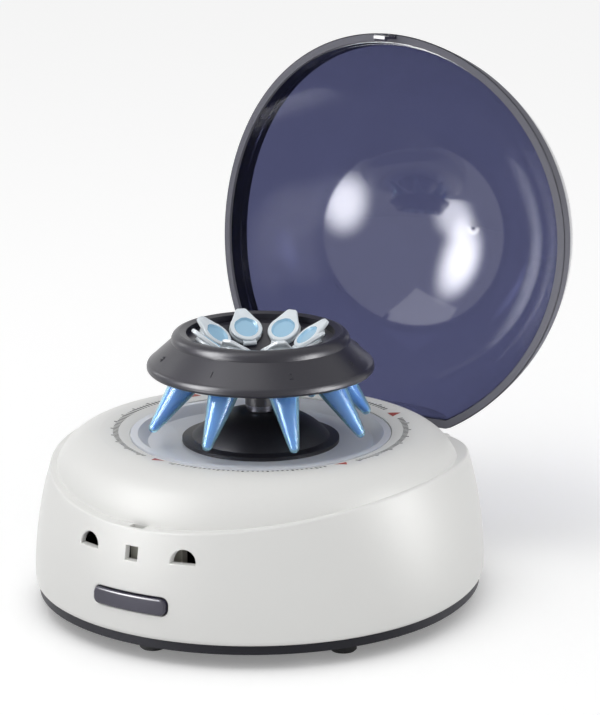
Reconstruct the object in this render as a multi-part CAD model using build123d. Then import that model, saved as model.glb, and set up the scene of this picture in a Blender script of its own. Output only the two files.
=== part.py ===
from build123d import *
import os
from math import cos, radians, sin, sqrt, tan

# Bench microcentrifuge with its lid open, in millimetres, +Z up, front towards -Y.
# The origin is where the rotor's axis meets the table.

# Plan and flank of the lower housing
half_width = 77.6            # half of the width at the widest level
front_reach = 78.9           # from the plan's centre to the front
rear_reach = 88.0            # from the plan's centre to the back
plan_centre_y = -2.85
skirt_foot_z = 8.3           # lower edge of the white housing
widest_z = 12.4
flank_radius = 130.0         # bulge of the flank, seen from the side
shell_wall = 2.6
flank_top_z = 64.0           # above the highest point of the lid seat
skirt_foot_round = 2.0
skirt_rim_round = 0.9
opening_edge_round = 0.4

# Lid seat: one arc across the width, lowest in the middle
seat_front_z = 45.0
seat_arc_radius = 286.0
seat_opening_radius = 57.0   # opening in the seat under the deck
seat_opening_rear_y = 52.0

# Feet and base plate
plate_bottom_z = 5.3
plate_inset = 1.3
foot_radius = 4.6
foot_ring_radius = 64.5
foot_count = 6
vent_width = 2.4
vent_length = 26.0
vent_pitch = 6.0
vent_rows = 5
vent_side_x = 22.5
vent_middle_y = -34.0

# Deck
lid_centre_y = -2.0          # the lid and the deck's shoulder share this axis
deck_radius = 71.4
deck_shoulder = 16.0
deck_fall_radius = 32.0      # curve from the crest down to the bowl
deck_wall = 2.4
deck_rear_y = 59.0
bowl_opening_radius = 44.5
bowl_seat_radius = 46.1
bowl_seat_z = 58.6

# Rotor bowl and motor cowl
bowl_lip_radius = 45.8
bowl_lip_inner_radius = 43.2
bowl_lip_height = 1.1
bowl_wall_radius = 43.9
bowl_floor_radius = 39.6
bowl_floor_z = 56.8
bowl_wall = 2.0
bowl_hole_radius = 8.0
cowl_brim_radius = 27.6
cowl_brim_height = 1.3
cowl_crown_radius = 24.2
cowl_crown_foot_z = 58.7
cowl_middle_radius = 17.0
cowl_middle_z = 64.6
cowl_top_radius = 6.4
cowl_top_z = 67.6
cowl_wall = 1.6
cowl_hole_radius = 2.4

# Lid
lid_rim_radius = 74.9
lid_flank_radius = 120.0
lid_flank_start = 10.0       # degrees from upright at the rim
lid_flank_end = 33.0         # degrees where the crown takes over
lid_flank_tail = 6.0         # degrees of flank below the rim, trimmed off by the seat
lid_wall = 2.2
lid_rear_cut = 8.9           # the lid is cut off flat this far inside its rim at the back
lid_edge_width = 3.0
lid_edge_height = 2.6
seal_height = 1.1
seal_gap = 0.3
seal_inset = 0.25
seal_cut_gap = 0.1
rib_width = 1.0
rib_inset = 2.1
rib_height = 4.4
rib_gap_angles = (38.0, -26.0)
rib_gap_width = 7.0

# Hinge
hinge_y = 68.4
hinge_z = 44.6
open_angle = 97.3
hinge_pin_radius = 1.5
running_clearance = 0.05
knuckle_radius = 3.2
knuckle_outer_half = 36.0
ear_half_start = 16.4
ear_half_end = 27.2
ear_side_gap = 0.4
ear_arm_rise = 1.0           # the arms stand this far above the knuckles
hinge_bed_top_z = 42.6
hinge_bed_bottom_z = 35.0
hinge_bed_half = 38.5
hinge_bed_front_y = 60.5
shelf_front_y = 64.6
barrel_clearance = 0.5
ear_arm_gap = 0.4
bumper_radius = 3.0
bumper_x = 9.0
bumper_y = 75.6
bumper_gap = 0.3

# Latch and release button
hook_half_width = 2.3
hook_set_back = 0.6          # from the rim of the lid to the front of the hook
hook_thickness = 1.1
hook_barb = 1.0
hook_tip_z = 37.0
barb_height = 2.0
hook_root_depth = 2.0        # how far the hook is set into the lid's edge
slot_half_width = 2.75
slot_front_play = 0.3
slot_length = 3.1
slot_bottom_z = 34.2
catch_gap = 0.3
catch_reach = 0.8            # how far the catch lies over the barb
catch_height = 2.0
button_length = 29.0
button_height = 5.7
button_z = 20.4
button_proud = 1.2
button_skin = 2.0
button_edge_round = 0.7
button_corner_share = 0.38   # corner radius as a share of the height
button_clearance = 0.4
button_travel = 2.5
button_stem_half = 8.0
button_flange_half = 16.4
button_flange_height = 7.4
button_flange_depth = 5.75   # behind the foremost point of the housing
button_flange_thickness = 2.0
latch_half_width = 4.0
latch_web = 2.0
guide_half_width = 20.0
guide_cheek = 2.4
guide_depth = 22.75          # behind the foremost point of the housing
guide_top_z = 27.0
guide_floor = 2.5
guide_wall = 4.0
spring_radius = 2.4
spring_wire = 0.35
spring_turns = 7
spring_pocket_depth = 3.2
spring_play = 0.4

# Openings in the front of the housing
square_hole = 4.8
square_hole_z = 36.6
window_x = 18.9
window_radius = 4.3
window_sill_z = 35.4
window_centre_z = 35.9
window_cut_reach = 8.0       # the windows' cut ends this far behind the button's flange

# Rotor and tubes
tube_count = 8
tube_first_angle = 5.0       # degrees from the front towards +X
tube_tilt = 37.0
tube_tip_radius = 40.0       # where the tips travel
tube_tip_z = 63.0
tube_radius = 5.1
tube_nose_radius = 1.8
tube_cone_length = 19.0
tube_length = 35.3
tube_wall = 0.9
tube_shoulder = 0.25         # the cone is this much narrower than the barrel
collar_radius = 5.85
collar_height = 1.4
cap_height = 1.5
cap_radius = 5.8
cap_recess_radius = 4.1
cap_recess_depth = 0.9
cap_plug_depth = 2.6
cap_tab_length = 2.9
cap_tab_half_width = 1.9
cap_tab_angle = 48.0         # where the tab leaves the disc
cap_strap_half_width = 2.4
cap_strap_thickness = 0.9
cap_strap_gap = 0.15         # between the strap and the collar
cap_strap_foot = 0.85        # above the collar's seat
liquid_gap = 0.05
liquid_level = 16.5
rotor_hole_clearance = 0.35
rotor_spot_clearance = 0.4
rotor_radius = 39.8
rotor_underside_z = 82.3
rotor_edge_low_z = 83.4
rotor_edge_top_z = 84.3
rotor_edge_round = 1.5
rotor_shoulder_radius = 31.2
rotor_shoulder_z = 92.8
rotor_crest_radius = 28.4
rotor_crest_z = 96.4
rotor_lip_radius = 26.0
rotor_lip_z = 95.9
rotor_land_z = 93.6
rotor_well_radius = 11.0
rotor_well_rise = 0.5        # the well stands this far above the collars' seats
hub_radius = 5.5
hub_foot_z = 70.1
hub_bore_top_z = 84.2
drive_collar_radius = 5.0
drive_collar_height = 2.1

# Motor
shaft_radius = 1.5
press_gap = 0.02
shaft_foot_z = 17.6
shaft_top_z = 84.0
motor_radius = 16.0
motor_top_z = 50.0
motor_foot_z = 20.0
motor_wall = 1.2
end_cap_height = 3.0
bush_radius = 3.6
bush_height = 3.4
bush_clearance = 0.03
magnet_gap = 0.1
magnet_thickness = 2.3
magnet_angle = 140.0
magnet_height = 20.0
magnet_foot_z = 24.5
air_gap = 0.5
armature_slots = 5
armature_slot_width = 2.2
armature_slot_depth = 3.6
armature_foot_z = 27.0
armature_height = 15.0
commutator_radius = 3.8
commutator_height = 3.4
terminal_x = 5.0
terminal_width = 2.8
terminal_thickness = 0.6
terminal_length = 4.6
motor_screw_ring = 10.0
bracket_thickness = 1.6
bracket_radius = 20.0
bracket_lobe_radius = 6.0
bracket_hole_radius = 4.0
grommet_ring = 25.0
grommet_count = 3
grommet_first_angle = 60.0   # degrees from the front towards +X
grommet_radius = 5.0
grommet_neck_radius = 3.1
grommet_bore_radius = 1.7
grommet_flange = 1.5
bowl_boss_radius = 4.0

# Control board
board_x = -42.0
board_y = 8.0
board_length = 44.0
board_width = 34.0
board_thickness = 1.6
board_z = 14.9
board_hole_inset = 3.0
standoff_radius = 2.8
capacitor_radius = 4.0
capacitor_height = 11.0
chip_size = (9.0, 7.0, 2.4)
relay_size = (15.0, 10.0, 11.0)
plug_block_size = (8.0, 6.0, 5.5)
lead_radius = 0.6

# Power socket
socket_z = 22.0
socket_pad_y = 83.6
socket_pad_half = 11.0
socket_pad_height = 15.0
socket_body_width = 10.0
socket_body_height = 11.0
socket_body_rear_y = 81.5
socket_body_length = 13.0
socket_nose_radius = 4.0
socket_hole_clearance = 0.2
socket_flange_radius = 5.4
socket_flange_height = 1.0
socket_bore_radius = 3.0
socket_bore_depth = 10.0
socket_pin_radius = 1.0
socket_pin_length = 9.0

# Screws
screw_shank_radius = 1.4
screw_head_radius = 2.8
screw_head_height = 1.8
screw_clearance = 0.15
screw_pilot_gap = 0.02       # round the shank in a tight screw hole
small_screw_shank_radius = 1.1
small_screw_head_radius = 2.1
small_screw_head_height = 1.4
screw_slot_width = 0.8
boss_radius = 3.6
boss_top_z = 26.0
base_screw_length = 14.0
base_screw_angles = (48.0, 132.0, 228.0, 312.0)
boss_plan_inset = 5.4
deck_screw_angles = (50.0, 128.0, 232.0, 310.0)
deck_screw_ring = 62.5
deck_pad_radius = 3.8
deck_pad_foot_z = 40.0
deck_boss_radius = 3.2
deck_screw_length = 15.5

# Lid sensor
magnet_radius = 1.0
magnet_depth = 1.6
sensor_size = (11.0, 3.0, 3.0)
sensor_x = 12.5
sensor_depth = 12.75         # behind the foremost point of the housing
sensor_z = 38.4
sensor_post_half = 2.0

# Values that follow from the sizes above
reach = 400.0                # longer than anything in the part, for trimming blocks
front_wall_y = plan_centre_y - front_reach
button_flange_front_y = front_wall_y + button_flange_depth
guide_rear_y = front_wall_y + guide_depth
sensor_y = front_wall_y + sensor_depth
lid_rear_y = lid_centre_y + lid_rim_radius - lid_rear_cut
hook_front_y = lid_centre_y - lid_rim_radius + hook_set_back
slot_front_y = hook_front_y - slot_front_play
slot_rear_y = slot_front_y + slot_length
seat_axis_z = seat_front_z + seat_arc_radius
plate_top_z = skirt_foot_z
deck_crest_radius = deck_radius - deck_shoulder
deck_crest_z = seat_front_z + deck_shoulder
tube_seat_radius = tube_tip_radius - tube_length * sin(radians(tube_tilt))
tube_seat_z = tube_tip_z + tube_length * cos(radians(tube_tilt))
grommet_foot_z = motor_top_z - grommet_flange
grommet_top_z = motor_top_z + bracket_thickness + grommet_flange


def block(x_low, x_high, y_low, y_high, z_low, z_high):
    """Box between two corners."""
    size = Box(x_high - x_low, y_high - y_low, z_high - z_low)
    return Pos((x_low + x_high) / 2, (y_low + y_high) / 2, (z_low + z_high) / 2) * size


def rod(radius, z_low, z_high, x=0.0, y=0.0):
    """Upright cylinder between two levels."""
    return Pos(x, y, (z_low + z_high) / 2) * Cylinder(radius, z_high - z_low)


def rod_along_x(radius, x_low, x_high, y, z):
    """Cylinder along X between two places."""
    return Pos((x_low + x_high) / 2, y, z) * Rot(0, 90, 0) * Cylinder(radius, x_high - x_low)


def rod_along_y(radius, y_low, y_high, x, z):
    """Cylinder along Y between two places."""
    return Pos(x, (y_low + y_high) / 2, z) * Rot(90, 0, 0) * Cylinder(radius, y_high - y_low)


def turned(edges, axis_y=0.0):
    """Solid of revolution about an upright axis from edges drawn as radius and height."""
    face = Plane.XZ * make_face(edges)
    return Pos(0, axis_y, 0) * revolve(face, Axis.Z)


def arc_point(centre, radius, angle):
    """Point of a circle in the radius and height plane."""
    return (centre[0] + radius * cos(radians(angle)), centre[1] + radius * sin(radians(angle)))


def profile_arc(centre, radius, start, end):
    """Arc of a profile between two angles."""
    middle = (start + end) / 2
    points = [arc_point(centre, radius, angle) for angle in (start, middle, end)]
    return ThreePointArc(*points)


def front_angle_place(radius, angle, centre_y=0.0):
    """Place on a circle, its angle counted from the front towards +X."""
    return (radius * sin(radians(angle)), centre_y - radius * cos(radians(angle)))


def group(solids):
    """Separate solids of one node."""
    return Compound(children=[solid for part in solids for solid in part.solids()])


# Housing forms


def flank_draw(z):
    """How far the flank has drawn in at a level."""
    return flank_radius - sqrt(flank_radius ** 2 - (z - widest_z) ** 2)


def plan_radii(z, inset=0.0):
    """Half width, front reach and rear reach of the plan at a level."""
    draw = flank_draw(z) + inset
    return half_width - draw, front_reach - draw, rear_reach - draw


def plan_face(z, inset=0.0):
    """Egg-shaped plan at a level: half an ellipse in front and a longer half behind."""
    side, front, rear = plan_radii(z, inset)
    centre = (0, plan_centre_y)
    front_half = EllipticalCenterArc(centre, side, front, 180, arc_size=180)
    rear_half = EllipticalCenterArc(centre, side, rear, 0, arc_size=180)
    return Pos(0, 0, z) * make_face([front_half, rear_half])


def housing_form(inset=0.0, z_low=skirt_foot_z, z_high=flank_top_z):
    """Closed form of the housing, drawn in by a wall, between two levels."""
    steps = 5
    levels = [z_low + (z_high - z_low) * step / steps for step in range(steps + 1)]
    return loft([plan_face(z, inset) for z in levels])


def seat_cutter(offset=0.0):
    """Space above the lid seat, with its lower side moved down by an offset."""
    radius = seat_arc_radius + offset
    return Pos(0, 0, seat_axis_z) * Rot(90, 0, 0) * Cylinder(radius, reach)


def seat_level(x):
    """Height of the lid seat at a distance from the middle."""
    return seat_axis_z - sqrt(seat_arc_radius ** 2 - x ** 2)


def before_rear(y):
    """Space in front of an upright plane."""
    return block(-reach, reach, -reach, y, -reach, reach)


def plan_place(angle, inset, z):
    """Place on the plan, drawn in by an inset, at an angle from the front."""
    side, front, rear = plan_radii(z, inset)
    y_reach = front if cos(radians(angle)) > 0 else rear
    return (side * sin(radians(angle)), plan_centre_y - y_reach * cos(radians(angle)))


def deck_form(inset=0.0):
    """Closed form of the deck: crested ring, rounded shoulder and upright wall."""
    low_z = seat_front_z - deck_shoulder / 2
    shoulder_centre = (deck_crest_radius, seat_front_z)
    fall_centre = (deck_crest_radius, deck_crest_z - deck_fall_radius)
    fall_angle = 120.0
    wall_foot = (deck_radius - inset, low_z)
    shoulder = profile_arc(shoulder_centre, deck_shoulder - inset, 0, 90)
    fall = profile_arc(fall_centre, deck_fall_radius - inset, 90, fall_angle)
    edges = [
        Line((0, low_z), wall_foot),
        Line(wall_foot, shoulder @ 0),
        shoulder,
        fall,
        Line(fall @ 1, (0, (fall @ 1).Y)),
        Line((0, (fall @ 1).Y), (0, low_z)),
    ]
    return turned(edges, lid_centre_y) & before_rear(deck_rear_y - inset)


def lid_form(inset=0.0):
    """Closed form of the shut lid: leaning flank, round crown, flat back."""
    flank_centre = (
        lid_rim_radius - lid_flank_radius * cos(radians(lid_flank_start)),
        seat_front_z - lid_flank_radius * sin(radians(lid_flank_start)),
    )
    joint = arc_point(flank_centre, lid_flank_radius, lid_flank_end)
    crown_radius = joint[0] / cos(radians(lid_flank_end))
    crown_centre = (0, joint[1] - crown_radius * sin(radians(lid_flank_end)))
    tail_angle = lid_flank_start - lid_flank_tail
    flank = profile_arc(flank_centre, lid_flank_radius - inset, tail_angle, lid_flank_end)
    crown = profile_arc(crown_centre, crown_radius - inset, lid_flank_end, 90)
    low_z = (flank @ 0).Y
    edges = [
        Line((0, low_z), flank @ 0),
        flank,
        crown,
        Line(crown @ 1, (0, low_z)),
    ]
    return turned(edges, lid_centre_y) & before_rear(lid_rear_y - inset)


# Screws


def screw(shank, head, head_height, length, z_head=0.0):
    """Screw pointing up, with its head below and a driver slot across it."""
    solid = rod(shank, z_head + head_height, z_head + head_height + length)
    solid += rod(head, z_head, z_head + head_height)
    slot_depth = head_height / 2
    slot = block(-head, head, -screw_slot_width / 2, screw_slot_width / 2, z_head - 1, z_head + slot_depth)
    return solid - slot


def large_screw(length, z_head):
    """Screw of the casing."""
    return screw(screw_shank_radius, screw_head_radius, screw_head_height, length, z_head)


def small_screw(length, z_head):
    """Screw of the motor and the board."""
    return screw(small_screw_shank_radius, small_screw_head_radius, small_screw_head_height, length, z_head)


def base_screw_places():
    """Where the base screws stand."""
    return [plan_place(angle, boss_plan_inset, skirt_foot_z) for angle in base_screw_angles]


def deck_screw_places():
    """Where the deck screws stand."""
    return [front_angle_place(deck_screw_ring, angle, lid_centre_y) for angle in deck_screw_angles]


def board_corners():
    """Where the board's screws stand."""
    dx = board_width / 2 - board_hole_inset
    dy = board_length / 2 - board_hole_inset
    return [(board_x + sx * dx, board_y + sy * dy) for sx in (-1, 1) for sy in (-1, 1)]


# Housing pieces


def hinge_line(radius, x_low, x_high):
    """Cylinder on the hinge axis."""
    return rod_along_x(radius, x_low, x_high, hinge_y, hinge_z)


def make_lower_housing():
    """Skirt with the lid seat, the hinge bed, the screw bosses and all its openings."""
    solid_block = housing_form() - seat_cutter()
    foot_edges = solid_block.edges().filter_by(lambda edge: edge.bounding_box().max.Z < widest_z)
    block_with_foot = fillet(foot_edges, skirt_foot_round)
    rim_low_z = seat_front_z - shell_wall
    rim_edges = block_with_foot.edges().filter_by(lambda edge: edge.bounding_box().min.Z > rim_low_z)
    skirt = fillet(rim_edges, skirt_rim_round)
    skirt -= housing_form(shell_wall, skirt_foot_z - 1) - seat_cutter(shell_wall)
    opening = rod(seat_opening_radius, skirt_foot_z, flank_top_z, 0, lid_centre_y)
    skirt -= opening & before_rear(seat_opening_rear_y)
    # Screw bosses at the foot and screw pads under the seat
    inner_room = housing_form(shell_wall / 2, skirt_foot_z)
    for x, y in base_screw_places():
        skirt += rod(boss_radius, skirt_foot_z, boss_top_z, x, y) & inner_room
    for x, y in deck_screw_places():
        skirt += rod(deck_pad_radius, deck_pad_foot_z, flank_top_z, x, y) - seat_cutter()
    pilot = screw_shank_radius + screw_clearance
    for x, y in base_screw_places():
        skirt -= rod(pilot, skirt_foot_z, boss_top_z - shell_wall, x, y)
    for x, y in deck_screw_places():
        skirt -= rod(pilot, deck_pad_foot_z, flank_top_z, x, y)
    # Hinge bed behind the lid, with knuckles for the pin
    half = hinge_bed_half
    bed = block(-half, half, hinge_bed_front_y, reach, hinge_bed_bottom_z, seat_front_z)
    skirt += (bed & inner_room) - seat_cutter(shell_wall / 2)
    skirt -= block(-half, half, shelf_front_y, reach, hinge_bed_top_z, flank_top_z)
    for x_low, x_high in knuckle_spans():
        pedestal = block(x_low, x_high, hinge_y - knuckle_radius, hinge_y + knuckle_radius,
                         hinge_bed_bottom_z, hinge_z)
        skirt += pedestal + hinge_line(knuckle_radius, x_low, x_high)
    for x_low, x_high in ear_spans(ear_side_gap):
        skirt -= hinge_line(knuckle_radius + barrel_clearance, x_low, x_high)
        skirt -= ear_arm(x_low, x_high, ear_arm_gap)
    skirt -= hinge_line(hinge_pin_radius + running_clearance, -reach, reach)
    # Latch slot in the seat
    skirt -= block(-slot_half_width, slot_half_width, slot_front_y, slot_rear_y, slot_bottom_z, flank_top_z)
    skirt -= front_openings()
    skirt = fillet(opening_edges(skirt), opening_edge_round)
    # Flat pad and hole for the power socket
    pad_low = socket_z - socket_pad_height / 2
    pad_high = socket_z + socket_pad_height / 2
    skirt -= block(-socket_pad_half, socket_pad_half, socket_pad_y, reach, pad_low, pad_high)
    nose_hole = socket_nose_radius + socket_hole_clearance
    skirt -= rod_along_y(nose_hole, socket_body_rear_y - socket_body_length, reach, 0, socket_z)
    return skirt


def knuckle_spans():
    """Stretches of the hinge axis that the housing's knuckles take."""
    outer = knuckle_outer_half
    start = ear_half_start - ear_side_gap
    end = ear_half_end + ear_side_gap
    return [(-start, start), (-outer, -end), (end, outer)]


def ear_spans(extra=0.0):
    """Stretches of the hinge axis that the lid's ears take."""
    start = ear_half_start - extra
    end = ear_half_end + extra
    return [(-end, -start), (start, end)]


def ear_arm(x_low, x_high, extra=0.0):
    """Flat arm from the shut lid's rear wall over the seat to the hinge."""
    low_z = hinge_z - extra
    high_z = hinge_z + knuckle_radius + ear_arm_rise + extra
    return block(x_low, x_high, lid_rear_y - lid_wall - extra, hinge_y, low_z, high_z)


def button_outline(extra=0.0):
    """Rounded outline of the button, seen from the front, as a face in the XZ plane."""
    corner = button_height * button_corner_share
    sketch = RectangleRounded(button_length + 2 * extra, button_height + 2 * extra, corner + extra)
    return Plane(origin=(0, 0, button_z), x_dir=(1, 0, 0), z_dir=(0, -1, 0)) * sketch


def front_prism(face, y_front, y_rear):
    """Prism along Y from a face drawn in the XZ plane."""
    return Pos(0, y_rear, 0) * extrude(face, y_rear - y_front)


def front_openings():
    """Button opening, square hole and two half-round windows."""
    far_front = -reach
    cut = front_prism(button_outline(button_clearance), far_front, button_flange_front_y)
    half = square_hole / 2
    cut += block(-half, half, far_front, slot_rear_y, square_hole_z - half, square_hole_z + half)
    window_rear_y = button_flange_front_y + window_cut_reach
    for side in (-1, 1):
        disc = rod_along_y(window_radius, far_front, window_rear_y, side * window_x, window_centre_z)
        cut += disc & block(-reach, reach, -reach, reach, window_sill_z, reach)
    return cut


def opening_edges(skirt):
    """Outer edges of the openings in the front wall."""
    found = []
    for edge in skirt.edges():
        bounds = edge.bounding_box()
        in_width = max(abs(bounds.min.X), abs(bounds.max.X)) < window_x + window_radius + 1
        above_foot = bounds.min.Z > skirt_foot_z + skirt_foot_round + 1
        under_seat = bounds.max.Z < seat_front_z - shell_wall
        middle = edge @ 0.5
        side, front, _ = plan_radii(middle.Z)
        wall_y = plan_centre_y - front * sqrt(1 - (middle.X / side) ** 2)
        if in_width and above_foot and under_seat and abs(middle.Y - wall_y) < 0.2:
            found.append(edge)
    return found


def make_base_plate():
    """Black plate under the housing, with standoffs, vents and the socket's pedestal."""
    plate = extrude(plan_face(skirt_foot_z, plate_inset), plate_bottom_z - plate_top_z)
    for side in (-1, 1):
        for row in range(vent_rows):
            y = (row - (vent_rows - 1) / 2) * vent_pitch + vent_middle_y
            slot = SlotOverall(vent_length, vent_width)
            cut = Pos(side * vent_side_x, y, plate_bottom_z - 1) * extrude(slot, plate_top_z)
            plate -= cut
    for x, y in board_corners():
        plate += rod(standoff_radius, plate_top_z, board_z, x, y)
        plate -= rod(small_screw_shank_radius + screw_pilot_gap, plate_top_z, board_z, x, y)
    post_low = socket_body_rear_y - socket_body_length + 1
    post_half = socket_body_width / 2
    plate += block(-post_half, post_half, post_low, socket_body_rear_y - 1,
                   plate_top_z, socket_z - socket_body_height / 2)
    for x, y in base_screw_places():
        plate -= rod(screw_shank_radius + screw_clearance, 0, plate_top_z, x, y)
        plate -= rod(screw_head_radius + screw_clearance, 0, plate_bottom_z + screw_head_height, x, y)
    return plate


def make_rubber_feet():
    """Round feet on a ring under the base plate, with a small chamfer at the foot."""
    feet = []
    for index in range(foot_count):
        x, y = front_angle_place(foot_ring_radius, index * 360 / foot_count, plan_centre_y)
        foot = rod(foot_radius, 0, plate_bottom_z)
        foot = chamfer(foot.edges().group_by(Axis.Z)[0], 0.6)
        feet.append(Pos(x, y, 0) * foot)
    return group(feet)


def make_base_screws():
    """Screws from below through the base plate."""
    places = base_screw_places()
    return group([Pos(x, y, 0) * large_screw(base_screw_length, plate_bottom_z) for x, y in places])


def make_top_deck():
    """White ring round the bowl, down to the lid seat, with bosses for its screws."""
    shell = deck_form() - deck_form(deck_wall)
    inside = deck_form(deck_wall / 2)
    for x, y in deck_screw_places():
        shell += rod(deck_boss_radius, seat_front_z, deck_crest_z, x, y) & inside
    shell = shell & seat_cutter()
    pilot = screw_shank_radius + screw_pilot_gap
    for x, y in deck_screw_places():
        depth = deck_pad_foot_z + deck_screw_length
        shell -= rod(pilot, seat_front_z, depth, x, y)
    shell -= rod(bowl_opening_radius, 0, reach)
    shell -= rod(bowl_seat_radius, bowl_seat_z, reach)
    return shell


def make_deck_screws():
    """Screws that pull the deck down onto the seat."""
    head = deck_pad_foot_z - screw_head_height
    return group([Pos(x, y, 0) * large_screw(deck_screw_length - 1, head) for x, y in deck_screw_places()])


def make_rotor_bowl():
    """Shallow bowl in the deck's opening, with bosses that carry the motor."""
    lip_z = bowl_seat_z + bowl_lip_height
    under_z = bowl_floor_z - bowl_wall
    points = [
        (bowl_hole_radius, bowl_floor_z),
        (bowl_floor_radius, bowl_floor_z),
        (bowl_lip_inner_radius, lip_z),
        (bowl_lip_radius, lip_z),
        (bowl_lip_radius, bowl_seat_z),
        (bowl_wall_radius, bowl_seat_z),
        (bowl_floor_radius - bowl_wall / 2, under_z),
        (bowl_hole_radius, under_z),
    ]
    bowl = turned(Polyline(*points, close=True))
    pilot = small_screw_shank_radius + screw_pilot_gap
    for x, y in grommet_places():
        bowl += rod(bowl_boss_radius, grommet_top_z, under_z, x, y)
        bowl -= rod(pilot, grommet_top_z, bowl_floor_z - bowl_wall / 2, x, y)
    return bowl


def make_motor_cowl():
    """Black hat over the motor's nose: flat brim, domed crown."""
    crown = ThreePointArc(
        (cowl_crown_radius, cowl_crown_foot_z),
        (cowl_middle_radius, cowl_middle_z),
        (cowl_top_radius, cowl_top_z),
    )
    brim_top = bowl_floor_z + cowl_brim_height
    edges = [
        Line((0, bowl_floor_z), (cowl_brim_radius, bowl_floor_z)),
        Line((cowl_brim_radius, bowl_floor_z), (cowl_brim_radius, brim_top)),
        Line((cowl_brim_radius, brim_top), (cowl_crown_radius, cowl_crown_foot_z)),
        crown,
        Line((cowl_top_radius, cowl_top_z), (0, cowl_top_z)),
        Line((0, cowl_top_z), (0, bowl_floor_z)),
    ]
    inner_crown = ThreePointArc(
        (cowl_crown_radius - cowl_wall, cowl_crown_foot_z),
        (cowl_middle_radius - cowl_wall, cowl_middle_z - cowl_wall),
        (cowl_top_radius - cowl_wall / 2, cowl_top_z - cowl_wall),
    )
    inner_foot = (cowl_crown_radius - cowl_wall, bowl_floor_z)
    inner = [
        Line((0, bowl_floor_z), inner_foot),
        Line(inner_foot, inner_crown @ 0),
        inner_crown,
        Line(inner_crown @ 1, (0, cowl_top_z - cowl_wall)),
        Line((0, cowl_top_z - cowl_wall), (0, bowl_floor_z)),
    ]
    return turned(edges) - turned(inner) - rod(cowl_hole_radius, 0, reach)


# Lid pieces, drawn shut and then swung open


def swing_open(shape):
    """Turn a piece of the shut lid about the hinge to where it stands open."""
    return shape.rotate(Axis((0, hinge_y, hinge_z), (1, 0, 0)), -open_angle)


def above_seat(offset):
    """Space above the lid seat, with its lower side moved up by an offset."""
    return seat_cutter(-offset)


def make_lid_shell():
    """Smoke-clear dome with a thickened edge, a locating rib and two hinge ears."""
    shell_foot = seal_gap + seal_height
    shell = lid_form() - lid_form(lid_wall)
    shell = shell & above_seat(shell_foot)
    edge = (lid_form() - lid_form(lid_edge_width)) & above_seat(shell_foot)
    shell += edge - above_seat(shell_foot + lid_edge_height)
    rib = lid_form(rib_inset) - lid_form(rib_inset + rib_width)
    rib = (rib & above_seat(shell_foot + lid_edge_height)) - above_seat(shell_foot + rib_height)
    rib &= before_rear(deck_rear_y - deck_shoulder)
    for angle in rib_gap_angles:
        x, y = front_angle_place(lid_rim_radius, angle, lid_centre_y)
        gap = Pos(x, y, deck_crest_z) * Rot(0, 0, angle) * Box(rib_gap_width, rib_gap_width * 2, reach)
        rib -= gap
    shell += rib
    for x_low, x_high in ear_spans():
        shell += hinge_line(knuckle_radius, x_low, x_high) + ear_arm(x_low, x_high)
    shell -= hinge_line(hinge_pin_radius + running_clearance, -reach, reach)
    shell -= magnet_rod(magnet_radius)
    shell -= hook_shank(press_gap) & below(hook_top_z() + press_gap)
    return swing_open(shell)


def make_lid_seal():
    """Dark strip along the whole edge of the lid."""
    ring = lid_form(seal_inset) - lid_form(lid_edge_width - seal_inset)
    ring = (ring & above_seat(seal_gap)) - above_seat(seal_gap + seal_height)
    ring -= hook_shank(seal_cut_gap)
    for x_low, x_high in ear_spans(seal_cut_gap):
        ring -= ear_arm(x_low, x_high, seal_cut_gap)
    return swing_open(ring)


def below(z):
    """Space under a level."""
    return block(-reach, reach, -reach, reach, -reach, z)


def hook_shank(extra=0.0):
    """Upright blade of the hook, from its tip up without end."""
    half = hook_half_width + extra
    rear = hook_front_y + hook_thickness + extra
    return block(-half, half, hook_front_y - extra, rear, hook_tip_z, reach)


def hook_top_z():
    """Level to which the hook is set into the lid's thick edge."""
    return seat_front_z + seal_gap + seal_height + hook_root_depth


def make_lid_hook():
    """Latch hook: blade down through the seal, barb to the rear."""
    rear = hook_front_y + hook_thickness
    shank = hook_shank() & below(hook_top_z())
    barb_profile = Polyline(
        (rear, hook_tip_z + barb_height),
        (rear + hook_barb, hook_tip_z + barb_height),
        (rear + hook_barb, hook_tip_z + barb_height * 0.55),
        (rear, hook_tip_z),
        close=True,
    )
    barb_plane = Plane(origin=(-hook_half_width, 0, 0), x_dir=(0, 1, 0), z_dir=(1, 0, 0))
    barb = extrude(barb_plane * make_face(barb_profile), 2 * hook_half_width)
    return swing_open(shank + barb)


def make_lid_magnet():
    """Small magnet set into the lid's thick edge above the lid sensor."""
    return swing_open(magnet_rod(magnet_radius - press_gap))


def magnet_rod(radius):
    """Magnet, or its pocket, in the top of the shut lid's thick edge."""
    x = sensor_x - sensor_size[0] / 2 + 2 * magnet_radius
    top = seat_level(x) + seal_gap + seal_height + lid_edge_height
    return rod(radius, top - magnet_depth, top, x, magnet_y(x))


def magnet_y(x):
    """Middle of the lid's thick edge at a distance from the middle plane."""
    radius = lid_rim_radius - lid_edge_width / 2
    return lid_centre_y - sqrt(radius ** 2 - x ** 2) + flank_lean()


def flank_lean():
    """How far the lid's flank leans in over the height of its thick edge."""
    return tan(radians(lid_flank_start)) * lid_edge_height


def make_hinge_pin():
    """Steel rod through all the knuckles and ears."""
    return hinge_line(hinge_pin_radius, -knuckle_outer_half, knuckle_outer_half)


def make_lid_bumpers():
    """Rubber stops behind the hinge that the open lid leans on."""
    turn = radians(open_angle)
    gap_to_wall = hinge_y - lid_rear_y
    along = (bumper_y + bumper_radius - hinge_y + gap_to_wall * cos(turn)) / sin(turn)
    wall_z = hinge_z + gap_to_wall * sin(turn) + along * cos(turn)
    bumpers = []
    for side in (-1, 1):
        bumper = rod(bumper_radius, hinge_bed_top_z, wall_z - bumper_gap, side * bumper_x, bumper_y)
        bumpers.append(bumper)
    return group(bumpers)


# Release pieces


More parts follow.
